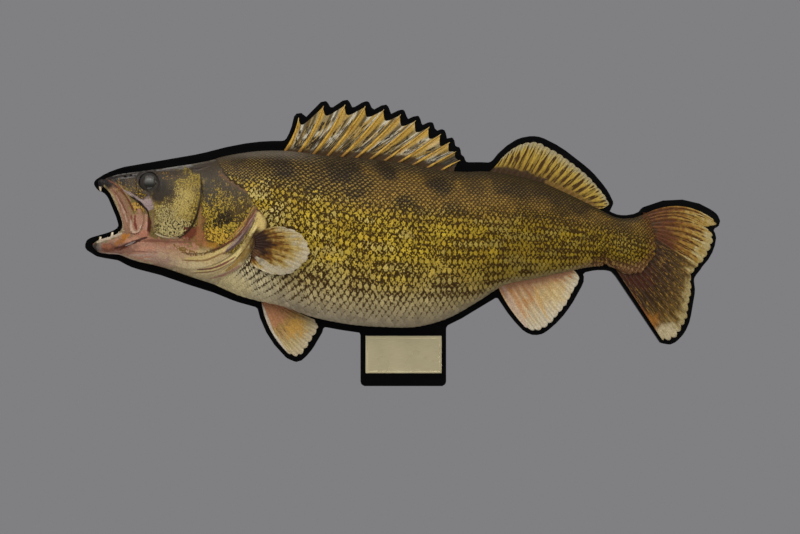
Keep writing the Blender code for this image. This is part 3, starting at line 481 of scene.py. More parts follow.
headTones = [
    patch(-250, 30, 95, 70, 0x705E34, 0.25, 0.15),
    # top of the head
    stroke([-390, 70, -350, 84, -310, 88, -270, 93, -240, 98, -215, 102], 38, 0x403932, 0.25),
    stroke([-300, 78, -275, 86, -250, 86, -225, 90, -205, 95], 14, 0x383026, 0.5),
    # the pale grey strokes along the head's top edge are painted sheen, where light grazes the rounded top
    stroke([-340, 84, -312, 89, -280, 93, -262, 97], 5, 0x686460, 0.6, strength=0.8),
    stroke([-368, 81, -350, 86.5, -330, 89.5, -306, 92.5], 2.2, 0x706D68, 0.6),
    stroke([-306, 91, -285, 95, -262, 99, -235, 105], 3, 0x86827C, 0.8),
    stroke([-262, 98, -240, 103, -215, 109, -190, 114], 4, 0x686156, 0.8),
    stroke([-366, 80, -345, 82, -322, 86, -300, 88], 3, 0x24211F, 0.6),
    stroke([-268, 92, -245, 95, -222, 100], 3, 0x2A241F, 0.8),
    stroke([-258, 90, -238, 97, -216, 103], 1.6, 0x625A50, 0.8), patch(-366, 77, 20, 10, 0x22201F, 0.3),
    patch(-345, 76, 20, 9, 0x2C2722), stroke([-370, 77.5, -352, 81, -334, 83], 1.8, 0x605C57, 0.8),
    patch(-345, 83.2, 2, 1.1, 0x0E0C0B, 0.25, 0.5), patch(-338.6, 85, 1.9, 1.2, 0x0E0C0B, 0.25, 0.5),
    patch(-352, 77, 7, 3, 0x8C6C2C, specks=(0.3, 0.3)),
    # round the eye
    patch(-316, 75, 19, 17, 0x302B26, 0.3), patch(-328, 64, 15, 9, 0x34291B, 0.3, turn=-30),
    patch(-335, 72, 8, 9, 0x3C3122),
    patch(-331, 65, 15, 9, 0xA27E2C, 0.3, 0.6, turn=-30, specks=(0.37, 0.3)),
    patch(-340, 77, 12, 4, 0x96742C, 0.3, 0.7, specks=(0.26, 0.3)),
    stroke([-330, 68, -322, 60, -312, 57, -304, 60], 3.4, 0x987A2C, 0.5, specks=(0.45, 0.2)),
    patch(-298, 70, 11, 15, 0x2A241E, 0.35), patch(-298, 84, 11, 6, 0x382E22, 0.5),
    patch(-297, 85, 10, 5, 0x966E32, 0.9, specks=(0.4, 0.4)), patch(-305, 58, 9, 6, 0x383028, turn=30),
    # cheek
    patch(-280, 44, 30, 42, 0x5E4C26, 0.15), patch(-270, 78, 20, 13, 0x5C4C24),
    patch(-281, 44, 31, 44, 0x9E8A46, 0.1, specks=(0.56, 0.15)),
    patch(-270, 79, 20, 13, 0x988230, 0.5, specks=(0.48, 0.2)),
    patch(-282, 50, 20, 17, 0xAC9858, 0.4, 0.7, strength=0.8, specks=(0.68, 0.15)),
    patch(-295, 32, 14, 14, 0xA69A6C, 0.4, 0.6, strength=0.8, specks=(0.5, 0.3)),
    patch(-301, 70, 20, 15, 0x2A241E, 0.2, 0.7, turn=-48, strength=0.96),
    patch(-290, 86, 18, 6, 0x362D22, 0.4, 0.6), patch(-305, 58, 7, 6, 0x342C24, 0.4, 0.6, turn=30),
    patch(-292, 85, 14, 5, 0x88682C, 0.8, specks=(0.34, 0.3)),
    stroke([-311, 55, -306, 50, -300, 51], 4, 0x78602C, 0.5, 0.6, specks=(0.4, 0.2)),
    patch(-284, 17, 27, 11, 0x221B0E, 0.3), patch(-284, 18, 27, 13, 0xAE9E68, 0.2, specks=(0.56, 0.5)),
    stroke([-308, 13, -296, 8, -280, 7.5], 2.6, 0xBEB088, 0.5),
    stroke([-254, 86, -253.6, 66, -257, 46], 2.6, 0x967E2C, 0.6),
    # gill cover
    patch(-222, 36, 36, 54, 0x382C12, 0.15), patch(-222, 36, 38, 54, 0xA68B30, 0.2, specks=(0.5, 0.45)),
    patch(-214, 64, 22, 20, 0x8A742E, 0.4, 0.7, specks=(0.36, 0.4)),
    patch(-220, 76, 26, 12, 0x382F22, 0.4, 0.7, strength=0.7, under=0.8),
    patch(-226, 56, 20, 16, 0x9E842E, 0.4, 0.7, strength=0.8, specks=(0.48, 0.45)),
    patch(-242, 68, 8, 20, 0x3C3426, 0.5, 0.6, under=0.6), patch(-222, 94, 30, 11, 0x3C3328, 0.4, 0.6),
    patch(-200, 88, 24, 22, 0x423726, 0.4, 0.7),
    patch(-204, 82, 24, 20, 0x7A6028, 0.5, 0.7, specks=(0.36, 0.6)),
    patch(-221, 89, 9, 6, 0x784E22, 0.5, 0.6, turn=-30, specks=(0.4, 0.6)),
    stroke([-226, 84, -212, 76, -194, 64], 5, 0x604228, 0.7, 0.9, strength=0.7, under=0.6),
    patch(-222, 30, 14, 7, 0x281E0E, 0.7, turn=35, under=0.62),
    patch(-204, 42, 9, 12, 0x48381C, 0.7, strength=0.8, under=0.6),
    patch(-234, 8, 18, 9, 0x543C12, 0.3, turn=-14),
    patch(-233, 8, 20, 11, 0xBE9A36, 0.3, turn=-14, specks=(0.52, 0.6)),
    patch(-240, -1, 11, 4, 0xA8782C, 0.6, 0.7, turn=-12, strength=0.8),
    patch(-253, 16, 4, 13, 0x92603C, 0.6, 0.6, turn=-18, strength=0.7),
    patch(-253, 36, 2.6, 14, 0x926C3E, strength=0.7), patch(-254, 5, 8, 10, 0x96623E, 0.6, 0.8),
    patch(-266, 12, 9, 7, 0x683624, turn=45),
    stroke([-252, 88, -251, 68, -254, 46, -259, 29, -267, 16, -279, 7], 2.2, 0x302618, 0.3),
    # gill membrane and throat
    patch(-246, -24, 52, 17, 0xBAA270, 0.15, turn=-12), patch(-214, -36, 26, 18, 0xA4946C, 0.2),
    patch(-326, -6, 40, 15, 0xB08067, 0.2, turn=-14), patch(-284, -2, 26, 9, 0xA07058, 0.5, turn=-8),
    stroke([-346, -4, -325, 0, -300, -4, -272, -6], 5, 0xA47A64, 0.5),
    stroke([-340, -14, -318, -14, -292, -12], 3.4, 0xB09280, 0.6),
    stroke([-322, -18, -300, -20, -280, -20], 3.4, 0xB8A48E, 0.6),
    stroke([-352, -8, -328, -9, -300, -12], 2.4, 0x845848, 0.6),
    stroke([-318, -8, -298, -11, -276, -13], 1.8, 0x865E4C, 0.6),
    stroke([-330, 3, -306, 4, -284, 2, -262, 4], 3.6, 0x805442, 0.5),
    patch(-292, -20, 28, 8, 0xAA8A75, 0.4, 0.6, turn=-16),
    patch(-260, -27, 30, 9, 0xCCB88A, 0.4, 0.7, turn=-20),
    patch(-276, -12, 16, 9, 0xAC8A6A, 0.6, 0.7, turn=-10, strength=0.8),
    stroke([-284, -3, -266, -11, -244, -13, -228, -8], 7, 0x785C2E, 0.7, specks=(0.55, 0.9)),
    # the gill membrane's own cream and gold bands; the palest strokes along the bands' ridges are painted
    # highlight, and the thin dark brown lines along the folds are painted shade
    stroke([-186, 36, -199, 18, -220, -5, -249, -17, -270, -18], 6, 0xC4AC70, 0.2),
    stroke([-184, 40, -193, 24, -205, 6, -219, -8], 7, 0x927C70, 0.3, 0.5),
    stroke([-188, 31, -198, 12, -210, -2, -224, -12], 2.6, 0x543E3A, 0.4, 0.5),
    stroke([-183, 40, -190, 27, -199, 14], 2.6, 0x8C6A5C, 0.3),
    stroke([-222, -10, -246, -20, -274, -20], 2.4, 0x8C6E44),
    stroke([-180, 33, -189, 13, -204, -9, -228, -27, -256, -34], 6, 0xCCB87A, 0.2),
    stroke([-188, 6, -198, -12, -214, -28, -236, -38], 4.4, 0xC6B07A, 0.3),
    stroke([-196, -8, -206, -22, -220, -33], 5, 0x947640),
    stroke([-209, -16, -222, -24, -238, -30, -256, -32], 2.4, 0x784C3E, 0.3),
    stroke([-202, -26, -218, -36, -240, -43], 2.6, 0x96705C),
    stroke([-212, -22, -234, -33, -262, -36], 1.8, 0x8E704C),
    stroke([-182, 45, -192, 30, -202, 15, -215, 3, -240, -9], 2.6, 0x683E28),
    stroke([-186, 46, -196, 30, -207, 16, -222, 3], 2, 0xA0763C, 0.5),
    patch(-177, 30, 6, 12, 0xBEA666, 0.3),
    stroke([-183, 14, -188, 2, -188, -12], 11, 0x382210, 0.4, 0.6, strength=0.9),
    stroke([-192, 8, -196, -8, -200, -20], 9, 0x765E2C, 0.5, 0.7, strength=0.7),
    # the dark line along the gill cover's rear edge is painted shadow under the overlapping flap
    stroke([-184, 44, -176, 38, -168, 30], 2.6, 0x5C3A22),
    # snout side
    patch(-317, 50, 5.5, 8, 0x8E7C76, 0.3),
    # upper jaw
    stroke([-370, 80, -360, 66, -351, 48, -345, 30, -341, 12], 21, 0x8A6850, 0.2),
    patch(-327, 45, 9, 9, 0x4E3822, 0.3), patch(-328, 45, 10, 10, 0xB28C42, 0.3, specks=(0.55, 0.6)),
    patch(-328, 26, 11, 15, 0x9E7660, 0.3), patch(-351, 69, 6, 5, 0x5C4428),
    patch(-351, 69, 7, 6, 0xA07C30, specks=(0.42, 0.4)), patch(-371, 76, 9, 8, 0x1F1C1A, 0.3, 0.5),
    stroke([-371, 72, -364, 62, -357, 50, -352, 38], 4.6, 0x968458, 0.5, 0.5),
    stroke([-372, 71, -364, 60, -356, 46], 5, 0x524226, specks=(0.42, 0.4)),
    stroke([-366, 79, -354, 70, -342, 55, -334, 38], 2.6, 0x623828, 0.4, 0.6),
    stroke([-362, 80, -350, 70, -338, 53], 1.4, 0x967864, 0.5, 0.6),
    stroke([-359, 66, -351, 54, -343, 38], 1.6, 0x683E2C, 0.5, 0.7),
    stroke([-356, 60, -349, 46, -343, 28], 2.2, 0xAC8C7A, 0.5, 0.6),
    stroke([-366, 73, -354, 59, -346, 42], 2, 0x78523E, 0.4, 0.6),
    stroke([-364, 62, -354, 40, -348, 16], 5, 0x9E8C70, 0.3),
    stroke([-364, 62, -354, 40, -348, 16], 5, 0x625434, 0.3, specks=(0.4, 0.3)),
    stroke([-353, 46, -347, 30, -344, 18], 2.6, 0x926C56),
    stroke([-338.5, 29, -336, 16, -330, 14, -325.5, 23], 3, 0xB89C86, 0.3),
    stroke([-333, 36, -333, 26, -331, 18], 3.6, 0x703C2E), stroke([-338, 36, -337, 29], 2.4, 0x784636),
    stroke([-316, 32, -315.5, 22, -317, 11], 4.6, 0x4A2418),
    stroke([-320, 36, -319, 24, -321, 14], 2.4, 0xAC806C, 0.5),
    stroke([-311, 40, -311, 26, -309, 15], 2.2, 0x80684C), patch(-324, 12, 8, 5, 0xA46E58),
    stroke([-346, 66, -338, 61, -330, 55.5, -322, 50, -315, 43], 4.4, 0x968480, 0.3, 0.5),
    patch(-317, 49, 5, 8, 0x96827E, 0.4, 0.6),
    stroke([-339, 59, -331, 54, -323, 47, -317, 39, -316, 33], 2.8, 0x241A14, 0.3),
    patch(-364, 77, 13, 8, 0x1E1A18, 0.4, 0.6, turn=-10, strength=0.85),
    stroke([-366, 78.5, -356, 73, -348, 64], 1.6, 0x704430, 0.5, 0.6),
    patch(-352, 72, 8, 5, 0x96762C, 0.5, turn=-50, specks=(0.36, 0.3)),
    # lower jaw
    patch(-358, -6, 28, 8, 0x886250, 0.2), patch(-367, -5, 12, 4.2, 0x704632, 0.3),
    patch(-370, -3, 8, 2.6, 0x8E5C42), patch(-346, 8, 4, 6, 0xAC7030, turn=-40),
    patch(-353, 2.4, 6, 2.6, 0x98643A, turn=35),
    # the dark stroke along the lower jaw's crease is painted shade in the crease
    stroke([-358, -5.5, -347, -3, -339, 0.4, -330, 4, -319, 8], 4, 0x4A2C24, 0.3),
    stroke([-345, -2.2, -338, 0.8, -333, 3], 1.5, 0xAA9A92),
    stroke([-362, -8, -350, -6, -340, -4], 2, 0x6E4232), patch(-383, -5, 7, 8, 0x403832, 0.3),
    patch(-377, -4, 3.4, 6, 0x766860, strength=0.7),
    stroke([-379, -11.5, -366, -12.5, -352, -14, -334, -20], 2.8, 0xB89E8A, 0.3),
    stroke([-380, 2, -371, 5.5, -361, 9, -350, 13], 4, 0xB6A690, 0.3),
]
# the inside wall's own colour, and a near black painted shade for the deepest part of the mouth
mouthTones = dict(deep=0x22100C, wall=0x784232)


# Marks and folds are laid out on the flat outline and drawn in a little over the domed head
def drawnAt(x, z, depth):
    near = 1 - np.clip(depth, 0, 60) / (studio["distance"] / mm)
    eyeX, eyeZ = studio["centre"]
    return eyeX + (x - eyeX) / near, eyeZ + (z - eyeZ) / near


# The head's colours, which run into the trunk's along the gill opening
def headMarkings(colours, x, z):
    painted = paintOver(colours.copy(), x, z, headTones)
    return mix(colours, painted, smooth(-6, 3, aheadOf("gillOpening", x, z) + 6 * (grain(x, z, 3, 91) - 0.5)))


# Skin

# Each fold: its line, the height of the raised side, how far that fades over, and the groove beside it
skin = dict(
    stationStep=2.5, ringSteps=64, voxel=0.78, coatDepth=0.75, bareDepth=0.15, relax=4, kept=0.24,
    coatStarts=(-225, -195), thinnedFrom=(-190, -170), flatBack=(-12, -10.9),
    folds=[
        dict(path=body["gillOpening"][3:], height=2.2, fade=16, groove=1.2, width=2.6),
        dict(path=[(-177, 51), (-192, 24), (-212, 4), (-240, -9), (-262, -12), (-280, -10)],
             height=1.4, fade=12, groove=0.7, width=2.4),
        dict(path=[(-178, 40), (-189, 16), (-206, -7), (-230, -23), (-262, -31), (-296, -26)],
             height=1.1, fade=6, groove=0.7, width=1.6),
        dict(path=[(-180, 22), (-197, -6), (-216, -26), (-240, -38), (-268, -39)],
             height=0.9, fade=5, groove=0.6, width=1.5),
        dict(path=[(-262, 86), (-252, 76), (-250.5, 58), (-258, 33), (-272, 14), (-290, 7), (-306, 10)],
             height=1.5, fade=12, groove=0.9, width=1.6),
        dict(path=[(-352, 72), (-337, 59), (-325, 44), (-323, 26), (-331, 13), (-344, 14)],
             height=1.4, fade=9, groove=1.2, width=1.5),
        dict(path=[(-355, 68), (-345, 63), (-333, 56), (-318, 46), (-308, 48)],
             height=1.0, fade=5, groove=0.8, width=1.2),
        dict(path=[(-327, 5), (-341, 0), (-355, -9)], height=0.9, fade=6, groove=1.0, width=1.8),
        dict(path=[(-374, 75), (-360, 68), (-351, 54), (-345, 36), (-342, 24)],
             height=0.8, fade=4, groove=0.5, width=1.0),
    ],
    snoutTip=((-373.6, -15.5, 75.6), (5, 4.5, 4.6)),
    orbit=dict(at=(-316.5, 75.4), radius=14.4, height=1.0, width=1.5),
    nostrils=[(-338.6, 85, 1.5), (-345.5, 83.5, 1.2)],
)
eye = dict(centre=(-313.2, 74.3), size=(13.2, 8.5, 13.2), depth=14.5, clearance=0.5)


# A flat outline made a solid that reaches right through the fish
def prism(name, outline, nearY=-0.1, farY=0.02):
    count = len(outline)
    points = [(x, y, z) for y in (nearY, farY) for x, z in outline]
    faces = [list(range(count)), list(range(2 * count - 1, count - 1, -1))]
    faces += [(k, k + count, (k + 1) % count + count, (k + 1) % count) for k in range(count)]
    return outward(meshPiece(name, points, faces, False))


def cut(piece, cutter, operation="DIFFERENCE"):
    applyModifier(piece, "BOOLEAN", operation=operation, object=cutter)
    bpy.data.objects.remove(cutter, do_unlink=True)


# The body as a closed half round form; extra thins it more than the coat's depth does
def bodyLoft(name, extra=0.0, flatY=backY):
    x = np.arange(body["snout"], body["end"], skin["stationStep"])
    turn = np.linspace(0, math.pi, skin["ringSteps"] + 1)
    stations, turns = np.meshgrid(x, turn, indexing="ij")
    inset = np.interp(stations, skin["coatStarts"], [skin["bareDepth"], skin["coatDepth"]]) + extra
    across, height, depth = sectionPoint(stations, turns, inset)
    front = np.stack([across * mm, midY - depth * mm, height * mm], axis=-1)
    foot, top = front[:, -1:].copy(), front[:, :1].copy()
    foot[..., 1] = top[..., 1] = flatY
    rings = np.concatenate([front, foot, top], axis=1)
    return outward(meshPiece(name, rings.reshape(-1, 3), tubeFaces(*rings.shape[:2])))


def ball(name, centre, half, segments=48):
    clean()
    bpy.ops.mesh.primitive_uv_sphere_add(segments=segments, ring_count=segments // 2, radius=1,
                                         rotation=(math.pi / 2, 0, 0))
    piece = bpy.context.object
    bpy.ops.object.transform_apply(location=True, rotation=True, scale=True)
    setPoints(piece, readPoints(piece) * np.array(half) + np.array(centre))
    return named(piece, name)


def eyeCentre():
    return np.array([eye["centre"][0] * mm, midY - eye["depth"] * mm, eye["centre"][1] * mm])


# Height in millimetres of the head's folds, plates and pits at (x, z)
def foldRelief(x, z):
    raised = np.zeros(x.shape)
    for fold in skin["folds"]:
        away, side, along = pathDistance(smoothPath(fold["path"], 5 * len(fold["path"])), x, z)
        inside = -side * away
        ends = smooth(0, 0.1, along) * smooth(0, 0.1, 1 - along)
        step = smooth(-0.5, 0.5, inside) * np.exp(-np.maximum(inside, 0) / fold["fade"])
        groove = np.exp(-(np.minimum(inside - 0.2, 0) / fold["width"])**2) * (inside < 0.2)
        raised += ends * (fold["height"] * step - fold["groove"] * groove)
    orbit = skin["orbit"]
    ring = np.hypot(x - orbit["at"][0], z - orbit["at"][1]) - orbit["radius"]
    raised += orbit["height"] * np.exp(-(ring / orbit["width"])**2)
    for cx, cz, radius in skin["nostrils"]:
        away = np.hypot(x - cx, (z - cz) * 1.4) / radius
        raised += 0.5 * np.exp(-((away - 1.5) / 0.5)**2) - 1.6 * np.exp(-away**2)
    return raised


def carveSkin():
    piece = bodyLoft("skin")
    inner = bodyLoft("innerHead", body["lip"], midY)
    points = readPoints(inner)
    points[points[:, 0] < (body["snout"] + 0.5) * mm, 0] -= body["lip"] * mm
    setPoints(inner, points)
    cut(inner, prism("mouthHollow", smoothPath(body["mouthHollow"], 40) * mm), "INTERSECT")
    cut(piece, inner)
    cut(piece, prism("gape", smoothPath(body["gape"], 40) * mm))
    beyond = np.vstack([smoothPath(body["tailRoot"], 40), [(240, -90), (400, -90), (400, 90), (290, 90)]])
    cut(piece, prism("beyondTail", beyond * mm))
    cut(piece, ball("socket", eyeCentre(), (np.array(eye["size"]) + eye["clearance"]) * mm, 32))
    tipCentre, tipHalf = np.array(skin["snoutTip"]) * mm
    cut(piece, ball("snoutTip", tipCentre, tipHalf, 24), "UNION")
    print("skin cut", len(piece.data.polygons))
    applyModifier(piece, "REMESH", mode="VOXEL", voxel_size=skin["voxel"] * mm)
    applyModifier(piece, "SMOOTH", factor=0.5, iterations=skin["relax"])
    return piece


# The trunk and the flat back lose most of their faces; the head keeps its own
def thinTrunk(piece):
    points = readPoints(piece)
    group = piece.vertex_groups.new(name="trunk")
    x, y = points[:, 0] / mm, points[:, 1] / mm
    trunk = np.maximum(smooth(*skin["thinnedFrom"], x), smooth(*skin["flatBack"], y))
    for level in np.linspace(0.1, 1, 10):
        chosen = np.nonzero((trunk > level - 0.1) & (trunk <= level))[0]
        group.add(chosen.tolist(), float(level), "REPLACE")
    before = len(piece.data.polygons)
    applyModifier(piece, "DECIMATE", ratio=skin["kept"], vertex_group="trunk", vertex_group_factor=10)
    print("skin", before, "to", len(piece.data.polygons))
    piece.vertex_groups.clear()


def buildSkin():
    piece = carveSkin()
    thinTrunk(piece)
    points, normals = readPoints(piece), readPoints(piece, "vertex_normals", "vector")
    x, z = points[:, 0] / mm, points[:, 2] / mm
    depth = (midY - points[:, 1]) / mm
    proud, facing = depth - flankDepth(x, z), smooth(0.05, 0.5, -normals[:, 1])
    outer = facing * np.where(x < body["jawReachEnd"], smooth(-6, -3, proud), smooth(-3.0, -1.2, proud))
    points[:, 1] -= foldRelief(*drawnAt(x, z, depth)) * outer * np.clip(depth / 4, 0, 1) * mm
    setPoints(piece, points)
    paintSkin(piece, x, z, depth)
    applyModifier(piece, "TRIANGULATE")
    dress(piece, "skin", paintedMaterial("skinFinish", 0.42, 0.0003), "cranium", "snout_side",
          "upper_jaw", "lower_jaw", "cheek", "gill_cover", "gill_membrane", "mouth_lining", "shoulder",
          "trunk_front", "trunk_middle", "trunk_rear", "tail_stalk")
    print("skin faces", len(piece.data.polygons))


def paintSkin(piece, x, z, depth):
    fill, edge, spot = trunkMarkings(x, z)
    colours = layered(mix(edge, fill, np.clip(spot - 0.25, 0, 1) * 0.8))
    colours = headMarkings(colours, *drawnAt(x, z, depth))
    sunk = depth - flankDepth(x, z)
    inside = (sunk < -2.2) & (x < -325) & (depth > -1)
    colours[inside, :3] = linear(mouthTones["wall"])
    colours[inside, 6] = 0
    # painted shade: the inside of the mouth grows darker the deeper it lies in the hollow
    deep = smooth(-4, -14, sunk) * (x < -320) * (depth > -2)
    colours[:, :3] = mix(colours[:, :3], linear(mouthTones["deep"]), deep * inside)
    setLayers(piece, colours)


# Materials

# A Principled material and short ways to add nodes to it; an input is a value or a socket
class Finish:
    def __init__(self, name, roughness, **sockets):
        self.material = bpy.data.materials.new(name)
        self.material.use_nodes = True
        self.shader = self.material.node_tree.nodes["Principled BSDF"]
        self.feed(self.shader, {"Roughness": roughness, "Coat Roughness": 0.1})
        self.feed(self.shader, {key.replace("_", " "): value for key, value in sockets.items()})

    def feed(self, node, inputs):
        for key, value in inputs.items():
            if isinstance(value, bpy.types.NodeSocket):
                self.material.node_tree.links.new(value, node.inputs[key])
            else:
                node.inputs[key].default_value = value

    def add(self, kind, inputs=(), **settings):
        node = self.material.node_tree.nodes.new("ShaderNode" + kind)
        for key, value in settings.items():
            setattr(node, key, value)
        self.feed(node, inputs if isinstance(inputs, dict) else dict(enumerate(inputs)))
        return node

    def math(self, operation, *inputs):
        return self.add("Math", inputs, operation=operation).outputs[0]

    def attribute(self, name):
        return self.add("Attribute", attribute_name=name).outputs

    def noise(self, scale, detail=3.0, stretch=(1, 1, 1), place=None):
        source = self.attribute(place)["Vector"] if place else self.add("TexCoord").outputs["Object"]
        turned = self.add("Mapping", {"Vector": source, "Scale": stretch}).outputs[0]
        return self.add("TexNoise", {"Vector": turned, "Scale": scale, "Detail": detail}).outputs[0]

    def ranged(self, source, low, high, newLow=0, newHigh=1, kind="LINEAR"):
        return self.add("MapRange", (source, low, high, newLow, newHigh), interpolation_type=kind).outputs[0]

    def mixed(self, one, two, share=1, blend="MIX"):
        tones = {6: one, 7: two}
        tones = {key: (*linear(tone), 1) if isinstance(tone, int) else tone for key, tone in tones.items()}
        return self.add("Mix", {0: share, **tones}, data_type="RGBA", blend_type=blend).outputs[2]

    # Colours between two tones, or one colour made lighter and darker by a number
    def colour(self, one, two, share):
        self.feed(self.shader, {"Base Color": self.mixed(one, two, share)})

    def shaded(self, colour, factor):
        grey = self.add("CombineColor", (factor, factor, factor)).outputs[0]
        self.feed(self.shader, {"Base Color": self.mixed(colour, grey, blend="MULTIPLY")})

    def bump(self, height, distance):
        bump = self.add("Bump", {"Strength": 1, "Distance": distance, "Height": height})
        self.feed(self.shader, {"Normal": bump.outputs[0]})


# Painted and varnished: ground colour, crisp specks over it, a fine mottle and a little relief
def paintedMaterial(name, roughness, bump, fine=(820, 820, 820), coarse=(430, 430, 330), place=None):
    made = Finish(name, roughness, Specular_IOR_Level=0.15)
    specks, speckSize = made.attribute("specks"), made.attribute("speckSize")["Fac"]
    grains = [made.noise(1, 2.5, scale, place) for scale in (fine, coarse)]
    grains = made.add("Mix", {0: speckSize, 2: grains[0], 3: grains[1]}, data_type="FLOAT").outputs[0]
    level = made.math("MULTIPLY_ADD", specks["Alpha"], 0.44, grains)
    shown = made.math("MULTIPLY", made.ranged(level, 0.69, 0.755), made.ranged(specks["Alpha"], 0.02, 0.12))
    colour = made.mixed(made.attribute("markings")["Color"], specks["Color"], shown)
    made.shaded(colour, made.ranged(made.noise(620, 5), 0.3, 0.7, 0.72, 1.24))
    made.bump(made.noise(900, 4), bump)
    return made.material


# Each scale has a pale middle with a ragged rim in the dark colour between the scales
def scaleMaterial():
    made = Finish("scaleFinish", 0.46, Specular_IOR_Level=0.1)
    wobble = made.ranged(made.noise(560, 4, (1, 1, 0.75)), 0.25, 0.75, -1, 1)
    wobble = made.math("MULTIPLY", wobble, made.attribute("ragged")["Fac"])
    reach = made.math("ADD", made.attribute("rimReach")["Fac"], wobble)
    over = made.math("SUBTRACT", reach, made.attribute("spot")["Fac"])
    share = made.ranged(over, -0.14, 0.14, kind="SMOOTHSTEP")
    colour = made.mixed(made.attribute("markings")["Color"], made.attribute("edging")["Color"], share)
    made.shaded(colour, made.ranged(made.noise(900, 4), 0.3, 0.7, 0.8, 1.2))
    made.bump(made.noise(1600, 3), 0.00012)
    return made.material


# Scales

scales = dict(
    columnPitch=[(-215, 3.9), (-60, 3.9), (20, 3.5), (130, 2.9), (262, 2.3), (312, 2.2)],
    near=[(-240, 0.6), (-200, 0.68), (-165, 0.84), (-125, 1.0)], backNear=0.8,
    # pitch of the rows, its growth, and the rows from first to last
    rows=dict(back=(8.2, 0.04, -40, 0), flank=(9.4, 0.2, 0, 30)),
    girth=254, girthPower=0.35,
    length=3.3, halfWidth=0.55, tipHeight=0.75, rootHeight=0.08, thickness=0.2, dome=0.14,
    # one scale's stations, places across it and half width at each station
    along=(0, 0.3, 0.6, 0.84, 1), across=(-1, -0.55, 0, 0.55, 1), half=(0.62, 0.9, 1, 0.82, 0.42),
    # how much length, width, turn and tone vary, and the middle and reach of the pale part along it
    vary=(0.03, 0.03, 0.05, 0.1), middle=(0.72, 0.36),
    span=(-238, 308), leastGap=3, underGill=4, beforeTail=4, tableX=(-245, 315), tableAway=(-130, 200),
    pieces=[("scales_shoulder", -240, -110), ("scales_front", -110, -10), ("scales_middle", -10, 90),
            ("scales_rear", 90, 190), ("scales_stalk", 190, 330)],
)


# The trunk's surface, unrolled: points and normals at each x and distance from the lateral line
def coatTable():
    x = np.arange(*scales["tableX"], 1.0)
    turn = np.linspace(0.002, math.pi - 0.002, 240)
    stations, turns = np.meshgrid(x, turn, indexing="ij")
    _, height, depth = sectionPoint(stations, turns, skin["coatDepth"])
    run = np.hypot(np.diff(height, axis=1), np.diff(depth, axis=1))
    run = np.concatenate([np.zeros((len(x), 1)), np.cumsum(run, axis=1)], axis=1)
    away = np.arange(*scales["tableAway"], 1.0)
    points = np.empty((len(x), len(away), 3))
    points[..., 0] = x[:, None]
    first, last = np.empty(len(x)), np.empty(len(x))
    for i, line in enumerate(lineAt("lateralLine", x)):
        zero = np.interp(-line, -height[i], run[i])
        points[i, :, 1] = -np.interp(away + zero, run[i], depth[i])
        points[i, :, 2] = np.interp(away + zero, run[i], height[i])
        first[i], last[i] = -zero, run[i, -1] - zero
    normal = np.cross(np.gradient(points, axis=0), np.gradient(points, axis=1))
    size = np.linalg.norm(normal, axis=2, keepdims=True)
    normal = np.where(size > 1e-6, normal / np.maximum(size, 1e-6), [0, -1, 0])
    normal *= np.where(normal[..., 1:2] > 0, -1, 1)
    return dict(x=x, away=away, points=points, normal=normal, first=first, last=last)


def sample(table, key, x, t):
    values = table[key]
    px = np.clip(x - table["x"][0], 0, len(table["x"]) - 1.001)
    pt = np.clip(t - table["away"][0], 0, len(table["away"]) - 1.001)
    i, k = px.astype(int), pt.astype(int)
    fx, ft = (px - i)[..., None], (pt - k)[..., None]
    return ((values[i, k] * (1 - fx) + values[i + 1, k] * fx) * (1 - ft)
            + (values[i, k + 1] * (1 - fx) + values[i + 1, k + 1] * fx) * ft)


# Root x, distance from the lateral line, column and row pitch, and row kind of every scale
def scalePlaces(table):
    places = []
    for rows, thinner in (("back", scales["backNear"]), ("flank", 1)):
        row, gain, *numbers = scales["rows"][rows]
        (x, end), column = scales["span"], 0
        while x < end:
            near = float(spline(scales["near"], x)) * thinner
            pitch = float(spline(scales["columnPitch"], x)) * near
            first, last = (float(np.interp(x, table["x"], table[key])) for key in ("first", "last"))
            size = near * ((last - first) / scales["girth"]) ** scales["girthPower"]
            for number in range(*numbers):
                r = number + 0.5 * (column % 2)
                t = size * (row * r + gain * r * r)
                gap = size * (row + 2 * gain * r)
                if gap > scales["leastGap"] and first + 0.5 < t < last - 0.5:
                    places.append((x, t, pitch, gap, column % 2))
            x += pitch
            column += 1
    places = np.array(places)
    x, _, z = sample(table, "points", places[:, 0], places[:, 1]).T
    under, clear = aheadOf("gillOpening", x, z), aheadOf("tailRoot", x, z)
    return places[(under < scales["underGill"]) & (clear > scales["beforeTail"])]


# One scale: places along and across it, its width there, whether on its upper side, and its faces
def scaleTemplate():
    along, across, half = (np.array(scales[key]) for key in ("along", "across", "half"))
    stations, count = len(along), len(across)
    a, w = np.repeat(along, count), np.repeat(half, count)
    b = np.tile(across, stations)
    a = a - 0.1 * a**3 * np.abs(b)**2
    top = len(a)
    rim = [i * count for i in range(stations)] + [(stations - 1) * count + k for k in range(1, count)]
    rim += [i * count + count - 1 for i in range(stations - 2, -1, -1)] + list(range(count - 2, 0, -1))
    faces = gridFaces(stations, count)
    for n, one in enumerate(rim):
        after = (n + 1) % len(rim)
        faces.append((one, top + n, top + after, rim[after]))
    faces.append(list(range(top, top + len(rim)))[::-1])
    a, b, w = (np.concatenate([values, values[rim]]) for values in (a, b, w))
    return a, b, w, np.arange(len(a)) < top, [face[::-1] for face in faces]


